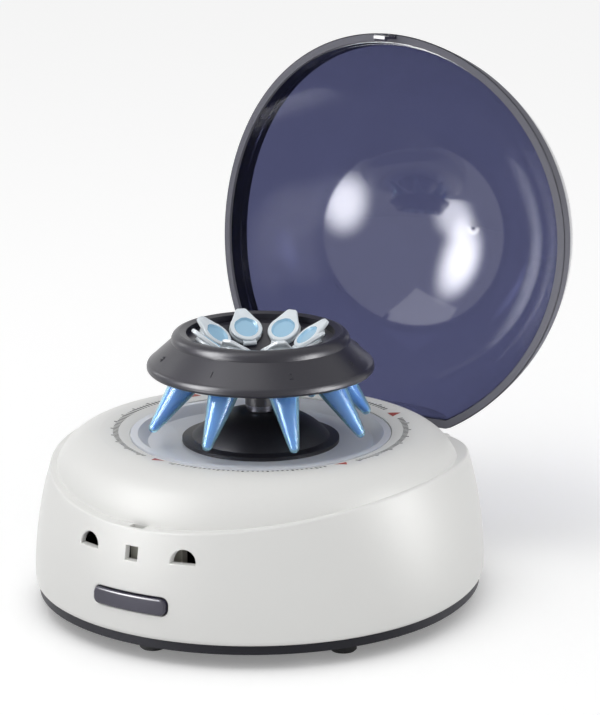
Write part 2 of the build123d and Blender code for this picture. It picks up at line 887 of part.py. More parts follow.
def make_release_button():
    """Curved push bar in the front wall, with a stem and a flange behind the wall."""
    low, high = button_z - button_height, button_z + button_height
    band = housing_form(-button_proud, low, high) - housing_form(button_skin, low - 1, high + 1)
    bar = band & front_prism(button_outline(), -reach, 0)
    bar = bar & block(-reach, reach, -reach, plan_centre_y - front_reach / 2, low, high)
    outer_face = bar.faces().sort_by(Axis.Y)[0]
    bar = fillet(outer_face.edges(), button_edge_round)
    stem_front = front_wall_y + button_skin * 0.75
    stem_half = button_height / 2 - 1
    flange_rear = button_flange_front_y + button_flange_thickness
    bar += block(-button_stem_half, button_stem_half, stem_front, flange_rear,
                 button_z - stem_half, button_z + stem_half)
    flange_half = button_flange_height / 2
    bar += block(-button_flange_half, button_flange_half, button_flange_front_y, flange_rear,
                 button_z - flange_half, button_z + flange_half)
    return bar


def latch_rear_y():
    """Rear face of the latch slide's web."""
    return button_flange_front_y + button_flange_thickness + latch_web


def make_latch_slide():
    """Upright web behind the button that carries the catch for the lid's hook."""
    web_front = button_flange_front_y + button_flange_thickness
    catch_low = hook_tip_z + barb_height + catch_gap
    catch_high = catch_low + catch_height
    flange_half = button_flange_height / 2
    web = block(-latch_half_width, latch_half_width, web_front, latch_rear_y(),
                button_z - flange_half, catch_high)
    barb_rear = hook_front_y + hook_thickness + hook_barb
    nose = block(-hook_half_width, hook_half_width, barb_rear - catch_reach, web_front, catch_low, catch_high)
    return web + nose


def spring_front_y():
    """Where the spring leans on the latch slide."""
    return latch_rear_y()


def spring_rear_y():
    """Rear end of the spring, inside its pocket: the pressed button moves it back by its travel."""
    return guide_rear_y - guide_wall + spring_pocket_depth - button_travel - spring_play


def make_button_spring():
    """Coil spring from the latch slide back into the guide's pocket."""
    length = spring_rear_y() - spring_front_y() - 2 * spring_wire
    coil_path = Helix(length / spring_turns, length, spring_radius - spring_wire)
    start = coil_path @ 0
    section = Plane(origin=start, z_dir=coil_path % 0) * Circle(spring_wire)
    coil = sweep(section, coil_path)
    return Pos(0, spring_rear_y() - spring_wire, button_z) * Rot(90, 0, 0) * coil


def make_button_guide():
    """Fixed cradle on the base plate: floor, two cheeks, rear wall with the spring's pocket."""
    front = button_flange_front_y + button_flange_thickness
    floor_top = plate_top_z + guide_floor
    rear_inner = guide_rear_y - guide_wall
    half = guide_half_width
    guide = block(-half, half, front, guide_rear_y, plate_top_z, floor_top)
    for side in (-1, 1):
        x_low, x_high = sorted((side * half, side * (half - guide_cheek)))
        guide += block(x_low, x_high, front, guide_rear_y, plate_top_z, guide_top_z)
    guide += block(-half, half, rear_inner, guide_rear_y, plate_top_z, guide_top_z)
    pocket_radius = spring_radius + 0.3
    guide -= rod_along_y(pocket_radius, rear_inner - 1, rear_inner + spring_pocket_depth, 0, button_z)
    sx, sy = sensor_x, sensor_y
    post = block(sx - sensor_post_half, sx + sensor_post_half, sy - 1.5, sy + 1.5, plate_top_z, sensor_z)
    return guide + post


def make_lid_sensor():
    """Sealed switch under the seat that the lid's magnet works."""
    length, width, height = sensor_size
    return Pos(sensor_x, sensor_y, sensor_z + height / 2) * Box(length, width, height)


# Motor


def grommet_places():
    """Where the motor's rubber mounts stand."""
    angles = [grommet_first_angle + index * 360 / grommet_count for index in range(grommet_count)]
    return [front_angle_place(grommet_ring, angle) for angle in angles]


def motor_screw_places():
    """Where the screws enter the motor's face."""
    return [(side * motor_screw_ring, 0) for side in (-1, 1)]


def make_motor_can():
    """Steel can, open below."""
    can = rod(motor_radius, motor_foot_z, motor_top_z)
    can -= rod(motor_radius - motor_wall, motor_foot_z, motor_top_z - motor_wall)
    can -= rod(bush_radius, 0, reach)
    for x, y in motor_screw_places():
        can -= rod(small_screw_shank_radius + screw_pilot_gap, 0, reach, x, y)
    return can


def make_motor_end_cap():
    """Plastic end of the motor, with slits for the terminals."""
    foot = motor_foot_z - end_cap_height
    cap = rod(motor_radius, foot, motor_foot_z)
    cap += rod(motor_radius - motor_wall - press_gap, motor_foot_z, motor_foot_z + 1)
    cap -= rod(bush_radius, motor_foot_z - bush_height / 2, reach)
    cap -= rod(shaft_radius + running_clearance * 4, 0, reach)
    for side in (-1, 1):
        x = side * terminal_x
        half_w, half_t = terminal_width / 2, terminal_thickness / 2
        cap -= block(x - half_w, x + half_w, -half_t, half_t, foot, foot + 1.5)
    return cap


def make_motor_terminals():
    """Two brass tabs under the motor."""
    foot = motor_foot_z - end_cap_height
    tabs = []
    for side in (-1, 1):
        x = side * terminal_x
        half_w, half_t = terminal_width / 2, terminal_thickness / 2
        tabs.append(block(x - half_w, x + half_w, -half_t, half_t, foot + 1.5 - terminal_length, foot + 1.5))
    return group(tabs)


def make_motor_bushes():
    """Sintered bushes at both ends of the motor."""
    bore = rod(shaft_radius + bush_clearance, 0, reach)
    top = rod(bush_radius, motor_top_z - bush_height, motor_top_z) - bore
    foot = motor_foot_z - bush_height / 2
    bottom = rod(bush_radius, foot, foot + bush_height) - bore
    return group([top, bottom])


def magnet_outer_radius():
    """Outer radius of the motor's magnets."""
    return motor_radius - motor_wall - magnet_gap


def armature_radius():
    """Radius of the turning armature."""
    return magnet_outer_radius() - magnet_thickness - air_gap


def make_motor_magnets():
    """Two curved magnets inside the can."""
    outer = magnet_outer_radius()
    ring = rod(outer, magnet_foot_z, magnet_foot_z + magnet_height)
    ring -= rod(outer - magnet_thickness, 0, reach)
    half_gap = outer * sin(radians(90 - magnet_angle / 2))
    ring -= block(-half_gap, half_gap, -reach, reach, 0, reach)
    return group([ring])


def make_motor_armature():
    """Slotted iron core and the commutator, on the shaft."""
    core = rod(armature_radius(), armature_foot_z, armature_foot_z + armature_height)
    for index in range(armature_slots):
        turn = Rot(0, 0, index * 360 / armature_slots)
        outer = armature_radius()
        core -= turn * block(outer - armature_slot_depth, outer + 1, -armature_slot_width / 2,
                             armature_slot_width / 2, 0, reach)
    core += rod(commutator_radius, armature_foot_z - commutator_height, armature_foot_z)
    return core - rod(shaft_radius + press_gap, 0, reach)


def make_motor_shaft():
    """Steel shaft from the lower bush up into the rotor."""
    return rod(shaft_radius, shaft_foot_z, shaft_top_z)


def make_motor_bracket():
    """Steel plate on top of the motor with three lobes."""
    top = motor_top_z + bracket_thickness
    plate = rod(bracket_radius, motor_top_z, top)
    for x, y in grommet_places():
        plate += rod(bracket_lobe_radius, motor_top_z, top, x, y)
    for x, y in grommet_places():
        plate -= rod(grommet_neck_radius, 0, reach, x, y)
    plate -= rod(bracket_hole_radius, 0, reach)
    for x, y in motor_screw_places():
        plate -= rod(small_screw_shank_radius + screw_clearance, 0, reach, x, y)
    return plate


def make_rubber_grommets():
    """Rubber mounts between the bracket and the bowl's bosses."""
    grommets = []
    for x, y in grommet_places():
        ring = rod(grommet_radius, grommet_foot_z, grommet_top_z, x, y)
        groove = rod(grommet_radius + 1, motor_top_z, motor_top_z + bracket_thickness, x, y)
        groove -= rod(grommet_neck_radius, 0, reach, x, y)
        grommets.append(ring - groove - rod(grommet_bore_radius, 0, reach, x, y))
    return group(grommets)


def make_bracket_screws():
    """Screws from below through the rubber mounts into the bowl."""
    head = grommet_foot_z - small_screw_head_height
    length = bowl_floor_z - bowl_wall / 2 - 0.4 - grommet_foot_z
    solids = []
    for x, y in grommet_places():
        solids.append(Pos(x, y, 0) * screw(small_screw_shank_radius, grommet_radius * 0.72,
                                           small_screw_head_height, length, head))
    return group(solids)


def make_motor_screws():
    """Screws from above through the bracket into the motor's face."""
    top = motor_top_z + bracket_thickness
    length = bracket_thickness + motor_wall + 0.6
    solids = []
    for x, y in motor_screw_places():
        upright = small_screw(length, 0)
        solids.append(Pos(x, y, top + small_screw_head_height) * Rot(180, 0, 0) * upright)
    return group(solids)


# Electrics


def make_control_board():
    """Bare board on four standoffs."""
    blank = Box(board_width, board_length, board_thickness)
    board = Pos(board_x, board_y, board_z + board_thickness / 2) * blank
    for x, y in board_corners():
        board -= rod(small_screw_shank_radius + screw_clearance, 0, reach, x, y)
    return board


def make_board_screws():
    """Screws from above into the standoffs."""
    top = board_z + board_thickness
    length = board_thickness + (board_z - plate_top_z) * 0.8
    solids = []
    for x, y in board_corners():
        solids.append(Pos(x, y, top + small_screw_head_height) * Rot(180, 0, 0) * small_screw(length, 0))
    return group(solids)


def on_board(x, y, size):
    """Box that stands on the board at a place counted from the board's middle."""
    top = board_z + board_thickness
    return Pos(board_x + x, board_y + y, top + size[2] / 2) * Box(*size)


def make_board_components():
    """Relay, driver chip and two capacitors."""
    top = board_z + board_thickness
    solids = [on_board(-6, -9, relay_size), on_board(8, 6, chip_size), on_board(4, -2.5, (4.0, 3.0, 1.6))]
    for dx in (-10, -1):
        solids.append(rod(capacitor_radius, top, top + capacitor_height, board_x + dx, board_y + 5))
    return group(solids)


def plug_places():
    """Middles of the plug blocks, counted from the board's middle: power, motor, sensor."""
    reach_y = board_length / 2 - plug_block_size[1] / 2
    reach_x = board_width / 2 - plug_block_size[1] / 2
    return {"power": (5.0, reach_y), "motor": (reach_x, -7.5), "sensor": (3.0, -reach_y)}


def make_board_connectors():
    """Plug blocks for power, motor and sensor."""
    width, depth, height = plug_block_size
    places = plug_places()
    return group([
        on_board(*places["power"], (width, depth, height)),
        on_board(*places["motor"], (depth, width, height)),
        on_board(*places["sensor"], (width, depth, height)),
    ])


def lead(points):
    """Round wire through points, its corners as large arcs as the runs allow."""
    vectors = [Vector(*point) for point in points]
    radii = []
    for before, here, after in zip(vectors, vectors[1:], vectors[2:]):
        first, second = here - before, after - here
        half_turn = radians(first.get_angle(second)) / 2
        radii.append(0.45 * min(first.length, second.length) / tan(half_turn))
    path = FilletPolyline(*vectors, radius=radii)
    section = Plane(origin=path @ 0, z_dir=path % 0) * Circle(lead_radius)
    return sweep(section, path)


def make_internal_leads():
    """Wires from the motor, the socket and the lid sensor to the board."""
    plug_z = board_z + board_thickness + plug_block_size[2] / 2
    places = plug_places()
    motor_x = board_x + board_width / 2
    motor_y = board_y + places["motor"][1]
    tab_y = terminal_thickness / 2 + lead_radius + running_clearance
    tab_z = motor_foot_z - end_cap_height - 2
    low = plate_top_z + 2.5
    wires = []
    wires.append([(-terminal_x, tab_y, tab_z), (-terminal_x - 1, tab_y + 4, low), (-14, 1, low),
                  (-20, motor_y - 1.5, plug_z), (motor_x, motor_y - 1.5, plug_z)])
    wires.append([(terminal_x, tab_y, tab_z), (terminal_x - 2, tab_y + 8, low), (-10, 10, low),
                  (-19, motor_y + 1.5, plug_z), (motor_x, motor_y + 1.5, plug_z)])
    power_x = board_x + places["power"][0]
    power_y = board_y + board_length / 2
    socket_front = socket_body_rear_y - socket_body_length
    for side in (-1, 1):
        wires.append([(side * 2, socket_front, socket_z), (side * 2, socket_front - 8, socket_z),
                      (-20 + side * 2, 50 + side * 2, plug_z + 1),
                      (power_x + side * 1.8, power_y + 12, plug_z),
                      (power_x + side * 1.8, power_y, plug_z)])
    sensor_px = board_x + places["sensor"][0]
    sensor_py = board_y - board_length / 2
    end_x = sensor_x + sensor_size[0] / 2
    mid_z = sensor_z + sensor_size[2] / 2
    for side in (-1, 1):
        wires.append([(end_x, sensor_y + side * 0.8, mid_z), (end_x + 5, sensor_y + side * 0.8, mid_z),
                      (end_x + 8, sensor_y + 5 + side, mid_z - 5), (end_x + 8, -54 + side, 22),
                      (14, -40 + side * 1.5, low), (-14, -33 + side * 1.5, low),
                      (sensor_px + side * 1.6, -20, plug_z), (sensor_px + side * 1.6, sensor_py, plug_z)])
    return group([lead(points) for points in wires])


def make_power_socket():
    """Round low-voltage socket in the back wall."""
    front = socket_body_rear_y - socket_body_length
    half_w, half_h = socket_body_width / 2, socket_body_height / 2
    body = block(-half_w, half_w, front, socket_body_rear_y, socket_z - half_h, socket_z + half_h)
    outer_y = socket_pad_y + socket_flange_height
    body += rod_along_y(socket_nose_radius, socket_body_rear_y, outer_y, 0, socket_z)
    body += rod_along_y(socket_flange_radius, socket_pad_y, outer_y, 0, socket_z)
    return body - rod_along_y(socket_bore_radius, outer_y - socket_bore_depth, outer_y, 0, socket_z)


def make_socket_pin():
    """Centre pin of the socket."""
    foot = socket_pad_y + socket_flange_height - socket_bore_depth
    return rod_along_y(socket_pin_radius, foot, foot + socket_pin_length, 0, socket_z)


# Rotor and tubes


def tube_frame(index):
    """Location of a tube: its tip, tilted outwards, turned to its place."""
    angle = tube_first_angle + index * 360 / tube_count
    return Rot(0, 0, angle - 90) * Pos(tube_tip_radius, 0, tube_tip_z) * Rot(0, -tube_tilt, 0)


def make_rotor_body():
    """Black rotor: wide flange, cone, rounded crest, well with eight slanted holes."""
    slope = tan(radians(tube_tilt))
    seat_z = tube_seat_z + rotor_well_rise
    land_radius = tube_seat_radius + (rotor_land_z - seat_z) / slope
    well_z = seat_z - (tube_seat_radius - rotor_well_radius) * slope
    edge_inner = rotor_radius - rotor_edge_round
    low_arc = ThreePointArc(
        (edge_inner, rotor_underside_z),
        (rotor_radius - rotor_edge_round * 0.3, rotor_underside_z + rotor_edge_round * 0.3),
        (rotor_radius, rotor_edge_low_z),
    )
    top_arc = ThreePointArc(
        (rotor_radius, rotor_edge_top_z),
        (rotor_radius - 0.35, rotor_edge_top_z + 0.9),
        (rotor_radius - 1.1, rotor_edge_top_z + 1.6),
    )
    crest = ThreePointArc(
        (rotor_shoulder_radius, rotor_shoulder_z),
        (rotor_shoulder_radius - 0.7, rotor_shoulder_z + 2.5),
        (rotor_crest_radius, rotor_crest_z),
    )
    edges = [
        Line((0, hub_foot_z), (hub_radius, hub_foot_z)),
        Line((hub_radius, hub_foot_z), (hub_radius, rotor_underside_z)),
        Line((hub_radius, rotor_underside_z), low_arc @ 0),
        low_arc,
        Line(low_arc @ 1, top_arc @ 0),
        top_arc,
        Line(top_arc @ 1, crest @ 0),
        crest,
        Line(crest @ 1, (rotor_lip_radius, rotor_lip_z)),
        Line((rotor_lip_radius, rotor_lip_z), (rotor_lip_radius, rotor_land_z)),
        Line((rotor_lip_radius, rotor_land_z), (land_radius, rotor_land_z)),
        Line((land_radius, rotor_land_z), (rotor_well_radius, well_z)),
        Line((rotor_well_radius, well_z), (0, well_z)),
        Line((0, well_z), (0, hub_foot_z)),
    ]
    rotor = turned(edges)
    rotor -= rod(shaft_radius + press_gap, 0, hub_bore_top_z)
    for index in range(tube_count):
        hole = rod(tube_radius + rotor_hole_clearance, tube_cone_length / 2, tube_length)
        spot = rod(collar_radius + rotor_spot_clearance, tube_length, tube_length + 12)
        rotor -= tube_frame(index) * (hole + spot)
    return rotor


def tube_profile(inset):
    """Half section of a tube's cone, drawn in by its wall, from the tip up."""
    nose = tube_nose_radius - inset / 2
    return [
        (0, inset),
        (nose * 0.6, inset),
        (nose, inset + nose * 0.7),
        (tube_radius - tube_shoulder - inset, tube_cone_length),
        (tube_radius - inset, tube_cone_length + tube_radius * 0.4),
    ]


def make_tube(index):
    """Tapered tube with a collar."""
    outer = tube_profile(0)
    inner = tube_profile(tube_wall)
    top = tube_length + collar_height
    outer_points = outer + [
        (tube_radius, tube_length),
        (collar_radius, tube_length),
        (collar_radius, top),
        (0, top),
    ]
    inner_points = inner + [(tube_radius - tube_wall, top + 1), (0, top + 1)]
    tube = turned(Polyline(*outer_points, close=True)) - turned(Polyline(*inner_points, close=True))
    return tube_frame(index) * tube


def make_tube_cap(index):
    """Snap cap: dished disc, a plug inside the tube, a teardrop tab outwards and a strap down the collar."""
    foot = tube_length + collar_height
    top = foot + cap_height
    cap = rod(cap_radius, foot, top)
    root_x = cap_radius * cos(radians(cap_tab_angle))
    root_y = cap_radius * sin(radians(cap_tab_angle))
    tip_x = cap_radius + cap_tab_length
    tab_outline = Polyline(
        (root_x, -root_y),
        (tip_x, -cap_tab_half_width),
        (tip_x, cap_tab_half_width),
        (root_x, root_y),
        close=True,
    )
    cap += Pos(0, 0, foot) * extrude(make_face(tab_outline), cap_height)
    strap_inner = collar_radius + cap_strap_gap
    strap_outer = strap_inner + cap_strap_thickness
    half = cap_strap_half_width
    cap += block(-strap_outer, cap_strap_thickness - cap_radius, -half, half, foot, foot + cap_height / 2)
    cap += block(-strap_outer, -strap_inner, -half, half, tube_length + cap_strap_foot, foot + cap_height / 2)
    cap -= rod(cap_recess_radius, top - cap_recess_depth, top + 1)
    plug = rod(tube_radius - tube_wall - 0.1, foot - cap_plug_depth, foot)
    plug -= rod(tube_radius - 2 * tube_wall - 0.1, foot - cap_plug_depth, foot)
    return tube_frame(index) * (cap + plug)


def make_tube_liquids():
    """Liquid in the tubes' cones."""
    drops = []
    for index in range(tube_count):
        points = tube_profile(tube_wall + liquid_gap)[:3]
        cone_radius = tube_radius - tube_shoulder - tube_wall - liquid_gap
        share = (liquid_level - points[2][1]) / (tube_cone_length - points[2][1])
        level_radius = points[2][0] + (cone_radius - points[2][0]) * share
        points += [(level_radius, liquid_level), (0, liquid_level)]
        drops.append(tube_frame(index) * turned(Polyline(*points, close=True)))
    return group(drops)


def make_drive_collar():
    """Pale ring on the shaft that the rotor stands on."""
    foot = hub_foot_z - drive_collar_height
    return rod(drive_collar_radius, foot, hub_foot_z) - rod(shaft_radius + press_gap, 0, reach)


def make_parts():
    """All nodes by name."""
    parts = {
        "lower_housing": make_lower_housing(),
        "base_plate": make_base_plate(),
        "rubber_feet": make_rubber_feet(),
        "base_screws": make_base_screws(),
        "top_deck": make_top_deck(),
        "deck_screws": make_deck_screws(),
        "rotor_bowl": make_rotor_bowl(),
        "motor_cowl": make_motor_cowl(),
        "motor_can": make_motor_can(),
        "motor_end_cap": make_motor_end_cap(),
        "motor_terminals": make_motor_terminals(),
        "motor_bushes": make_motor_bushes(),
        "motor_magnets": make_motor_magnets(),
        "motor_bracket": make_motor_bracket(),
        "rubber_grommets": make_rubber_grommets(),
        "bracket_screws": make_bracket_screws(),
        "motor_screws": make_motor_screws(),
        "control_board": make_control_board(),
        "board_components": make_board_components(),
        "board_connectors": make_board_connectors(),
        "board_screws": make_board_screws(),
        "internal_leads": make_internal_leads(),
        "power_socket": make_power_socket(),
        "socket_pin": make_socket_pin(),
        "lid_sensor": make_lid_sensor(),
        "button_guide": make_button_guide(),
        "hinge_pin": make_hinge_pin(),
        "lid_bumpers": make_lid_bumpers(),
        "release_button": make_release_button(),
        "latch_slide": make_latch_slide(),
        "button_spring": make_button_spring(),
        "lid_shell": make_lid_shell(),
        "lid_seal": make_lid_seal(),
        "lid_hook": make_lid_hook(),
        "lid_magnet": make_lid_magnet(),
        "motor_shaft": make_motor_shaft(),
        "motor_armature": make_motor_armature(),
        "drive_collar": make_drive_collar(),
        "rotor_body": make_rotor_body(),
        "tube_liquids": make_tube_liquids(),
    }
    for index in range(tube_count):
        parts["tube_%d" % (index + 1)] = make_tube(index)
        parts["tube_cap_%d" % (index + 1)] = make_tube_cap(index)
    return parts


if __name__ == "__main__":
    os.makedirs("parts", exist_ok=True)
    for name, shape in make_parts().items():
        export_step(shape, "parts/%s.step" % name)
        print(name, len(shape.solids()), round(shape.volume, 1))
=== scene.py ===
"""Looks of a bench microcentrifuge with its smoke-clear lid open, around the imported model."""
import logging
import math
from dataclasses import dataclass
from enum import Enum
from typing import Callable, Iterable, Optional, Sequence

import bmesh
import bpy
from mathutils import Matrix, Vector


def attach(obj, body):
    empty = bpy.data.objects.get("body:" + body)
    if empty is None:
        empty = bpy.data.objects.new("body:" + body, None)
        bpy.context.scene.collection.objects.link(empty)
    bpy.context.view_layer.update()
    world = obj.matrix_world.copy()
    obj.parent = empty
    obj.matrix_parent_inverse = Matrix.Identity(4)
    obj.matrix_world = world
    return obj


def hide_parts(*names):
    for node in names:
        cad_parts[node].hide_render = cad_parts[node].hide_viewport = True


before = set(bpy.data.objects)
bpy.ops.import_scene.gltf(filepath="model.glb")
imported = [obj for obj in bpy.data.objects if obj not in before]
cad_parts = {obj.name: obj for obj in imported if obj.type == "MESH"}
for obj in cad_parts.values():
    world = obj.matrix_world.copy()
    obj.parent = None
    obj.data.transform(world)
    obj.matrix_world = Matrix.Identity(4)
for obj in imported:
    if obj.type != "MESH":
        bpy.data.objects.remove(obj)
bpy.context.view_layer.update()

LOG = logging.getLogger("microcentrifuge")
MM = 0.001
Colour = tuple[float, float, float]
Profile = Sequence[tuple[float, float]]


def linear(red: float, green: float, blue: float) -> Colour:
    """Scene-linear colour of a display colour.

    Args:
        red: display value from 0 to 255.
        green: display value from 0 to 255.
        blue: display value from 0 to 255.

    Returns:
        The three linear values.
    """
    def one(value: float) -> float:
        """Linear value of one display value."""
        share = value / 255
        return share / 12.92 if share <= 0.04045 else ((share + 0.055) / 1.055) ** 2.4
    return (one(red), one(green), one(blue))


class Sheet:
    """A node tree under construction, of a material, a world or a group."""

    def __init__(self, tree: bpy.types.NodeTree) -> None:
        """Starts on a tree.

        Args:
            tree: the node tree that gets the nodes.
        """
        self.tree = tree

    def node(self, kind: str, settings: Optional[dict] = None, **inputs: object) -> bpy.types.Node:
        """Adds a node, sets its options and fills or links its inputs.

        Args:
            kind: Blender's type name of the node.
            settings: options of the node itself.
            inputs: socket values or output sockets, by the socket's name with _ for a space.

        Returns:
            The new node.
        """
        made = self.tree.nodes.new(kind)
        for name, value in (settings or {}).items():
            setattr(made, name, value)
        for name, value in inputs.items():
            self.feed(made, name.replace("_", " "), value)
        return made

    def feed(self, node: bpy.types.Node, socket: str, value: object) -> None:
        """Sets or links one input.

        Args:
            node: the node that is fed.
            socket: the input's name, or its number as text.
            value: a plain value or another node's output.
        """
        target = node.inputs[int(socket)] if socket.isdigit() else node.inputs[socket]
        if isinstance(value, bpy.types.NodeSocket):
            self.tree.links.new(value, target)
        elif isinstance(value, tuple) and len(value) == 3 and target.type == "RGBA":
            target.default_value = (*value, 1.0)
        else:
            target.default_value = value

    def math(self, operation: str, first: object, second: object = 0.0) -> bpy.types.NodeSocket:
        """Output of a Math node.

        Args:
            operation: Blender's name of the operation.
            first: first value or socket.
            second: second value or socket.

        Returns:
            The result's socket.
        """
        made = self.node("ShaderNodeMath", {"operation": operation})
        self.feed(made, "0", first)
        self.feed(made, "1", second)
        return made.outputs[0]

    def mix(self, share: object, first: object, second: object) -> bpy.types.NodeSocket:
        """Output of a colour mix.

        Args:
            share: how much of the second colour shows.
            first: first colour.
            second: second colour.

        Returns:
            The mixed colour's socket.
        """
        made = self.node("ShaderNodeMix", {"data_type": "RGBA"})
        self.feed(made, "0", share)
        self.feed(made, "6", first)
        self.feed(made, "7", second)
        return made.outputs[2]


@dataclass(frozen=True)
class GroupSocket:
    """One input of a shared shader group."""

    name: str
    kind: str
    value: float = 0.0


class SharedGroups:
    """Shader groups that several finishes use, each built once."""

    def __init__(self) -> None:
        """Starts with no group built."""
        self.built: dict[str, bpy.types.NodeTree] = {}

    def _group(self, name: str, inputs: Iterable[GroupSocket], outputs: Iterable[GroupSocket],
               fill: Callable[[Sheet, bpy.types.Node, bpy.types.Node], None]) -> bpy.types.NodeTree:
        """Builds a group the first time it is asked for.

        Args:
            name: the group's name.
            inputs: its inputs.
            outputs: its outputs.
            fill: what makes its inner nodes.

        Returns:
            The group's node tree.
        """
        if name not in self.built:
            tree = bpy.data.node_groups.new(name, "ShaderNodeTree")
            for socket in inputs:
                made = tree.interface.new_socket(socket.name, in_out="INPUT", socket_type=socket.kind)
                made.default_value = socket.value
            for socket in outputs:
                tree.interface.new_socket(socket.name, in_out="OUTPUT", socket_type=socket.kind)
            fill(Sheet(tree), tree.nodes.new("NodeGroupInput"), tree.nodes.new("NodeGroupOutput"))
            self.built[name] = tree
        return self.built[name]

    def moulded_grain(self) -> bpy.types.NodeTree:
        """Fine moulded texture: a height for bump and a slow mottle from 0 to 1.

        Returns:
            The group's node tree.
        """
        def fill(sheet: Sheet, source: bpy.types.Node, sink: bpy.types.Node) -> None:
            """Makes the group's inner nodes."""
            place = sheet.node("ShaderNodeTexCoord").outputs["Object"]
            fine = sheet.node("ShaderNodeTexNoise", Vector=place, Detail=3.0,
                              Scale=source.outputs["Grain Scale"])
            slow = sheet.node("ShaderNodeTexNoise", Vector=place, Detail=2.0,
                              Scale=source.outputs["Mottle Scale"])
            sheet.feed(sink, "Height", fine.outputs["Fac"])
            sheet.feed(sink, "Mottle", slow.outputs["Fac"])
        number = "NodeSocketFloat"
        return self._group("moulded_grain",
                           [GroupSocket("Grain Scale", number, 2400.0),
                            GroupSocket("Mottle Scale", number, 22.0)],
                           [GroupSocket("Height", number), GroupSocket("Mottle", number)], fill)

    def edge_wear(self) -> bpy.types.NodeTree:
        """Mask of rubbed edges, from how sharply the surface turns outwards.

        Returns:
            The group's node tree.
        """
        def fill(sheet: Sheet, source: bpy.types.Node, sink: bpy.types.Node) -> None:
            """Makes the group's inner nodes."""
            turn = sheet.node("ShaderNodeNewGeometry").outputs["Pointiness"]
            ramp = sheet.node("ShaderNodeMapRange", Value=turn)
            sheet.feed(ramp, "From Min", 0.52)
            sheet.feed(ramp, "From Max", 0.62)
            place = sheet.node("ShaderNodeTexCoord").outputs["Object"]
            patchy = sheet.node("ShaderNodeTexNoise", Vector=place, Detail=4.0,
                                Scale=source.outputs["Patch Scale"])
            worn = sheet.math("MULTIPLY", ramp.outputs["Result"], patchy.outputs["Fac"])
            sheet.feed(sink, "Mask", sheet.math("MULTIPLY", worn, source.outputs["Amount"]))
        number = "NodeSocketFloat"
        return self._group("edge_wear",
                           [GroupSocket("Patch Scale", number, 160.0), GroupSocket("Amount", number, 1.0)],
                           [GroupSocket("Mask", number)], fill)

    def settled_dust(self) -> bpy.types.NodeTree:
        """Mask of the faint dust that lies on faces turned upwards.

        Returns:
            The group's node tree.
        """
        def fill(sheet: Sheet, source: bpy.types.Node, sink: bpy.types.Node) -> None:
            """Makes the group's inner nodes."""
            normal = sheet.node("ShaderNodeNewGeometry").outputs["Normal"]
            rise = sheet.node("ShaderNodeSeparateXYZ", Vector=normal).outputs["Z"]
            upward = sheet.node("ShaderNodeMapRange", Value=rise)
            sheet.feed(upward, "From Min", 0.55)
            place = sheet.node("ShaderNodeTexCoord").outputs["Object"]
            specks = sheet.node("ShaderNodeTexNoise", Vector=place, Detail=6.0,
                                Scale=source.outputs["Speck Scale"])
            sparse = sheet.node("ShaderNodeMapRange", Value=specks.outputs["Fac"])
            sheet.feed(sparse, "From Min", 0.52)
            sheet.feed(sparse, "From Max", 0.72)
            lying = sheet.math("MULTIPLY", upward.outputs["Result"], sparse.outputs["Result"])
            sheet.feed(sink, "Mask", sheet.math("MULTIPLY", lying, source.outputs["Amount"]))
        number = "NodeSocketFloat"
        return self._group("settled_dust",
                           [GroupSocket("Speck Scale", number, 900.0), GroupSocket("Amount", number, 0.1)],
                           [GroupSocket("Mask", number)], fill)


GROUPS = SharedGroups()
DUST = linear(205, 202, 196)
ROUGHNESS_SPREAD = 0.04      # how far a moulding's roughness wanders either way
MARK_SPREAD = 0.08           # the same for a metal's tool marks
COAT_ROUGHNESS = 0.12
GRAIN_HEIGHT = 0.4 * MM
RIPPLE_HEIGHT = 0.3 * MM
MARK_HEIGHT = 0.1 * MM


def _new_material(name: str) -> tuple[bpy.types.Material, Sheet, bpy.types.Node]:
    """An empty node material with a Principled BSDF.

    Args:
        name: the material's name.

    Returns:
        The material, its sheet and its Principled BSDF.
    """
    material = bpy.data.materials.new(name)
    material.use_nodes = True
    material.node_tree.nodes.clear()
    sheet = Sheet(material.node_tree)
    shader = sheet.node("ShaderNodeBsdfPrincipled")
    sheet.node("ShaderNodeOutputMaterial", Surface=shader.outputs["BSDF"])
    return material, sheet, shader


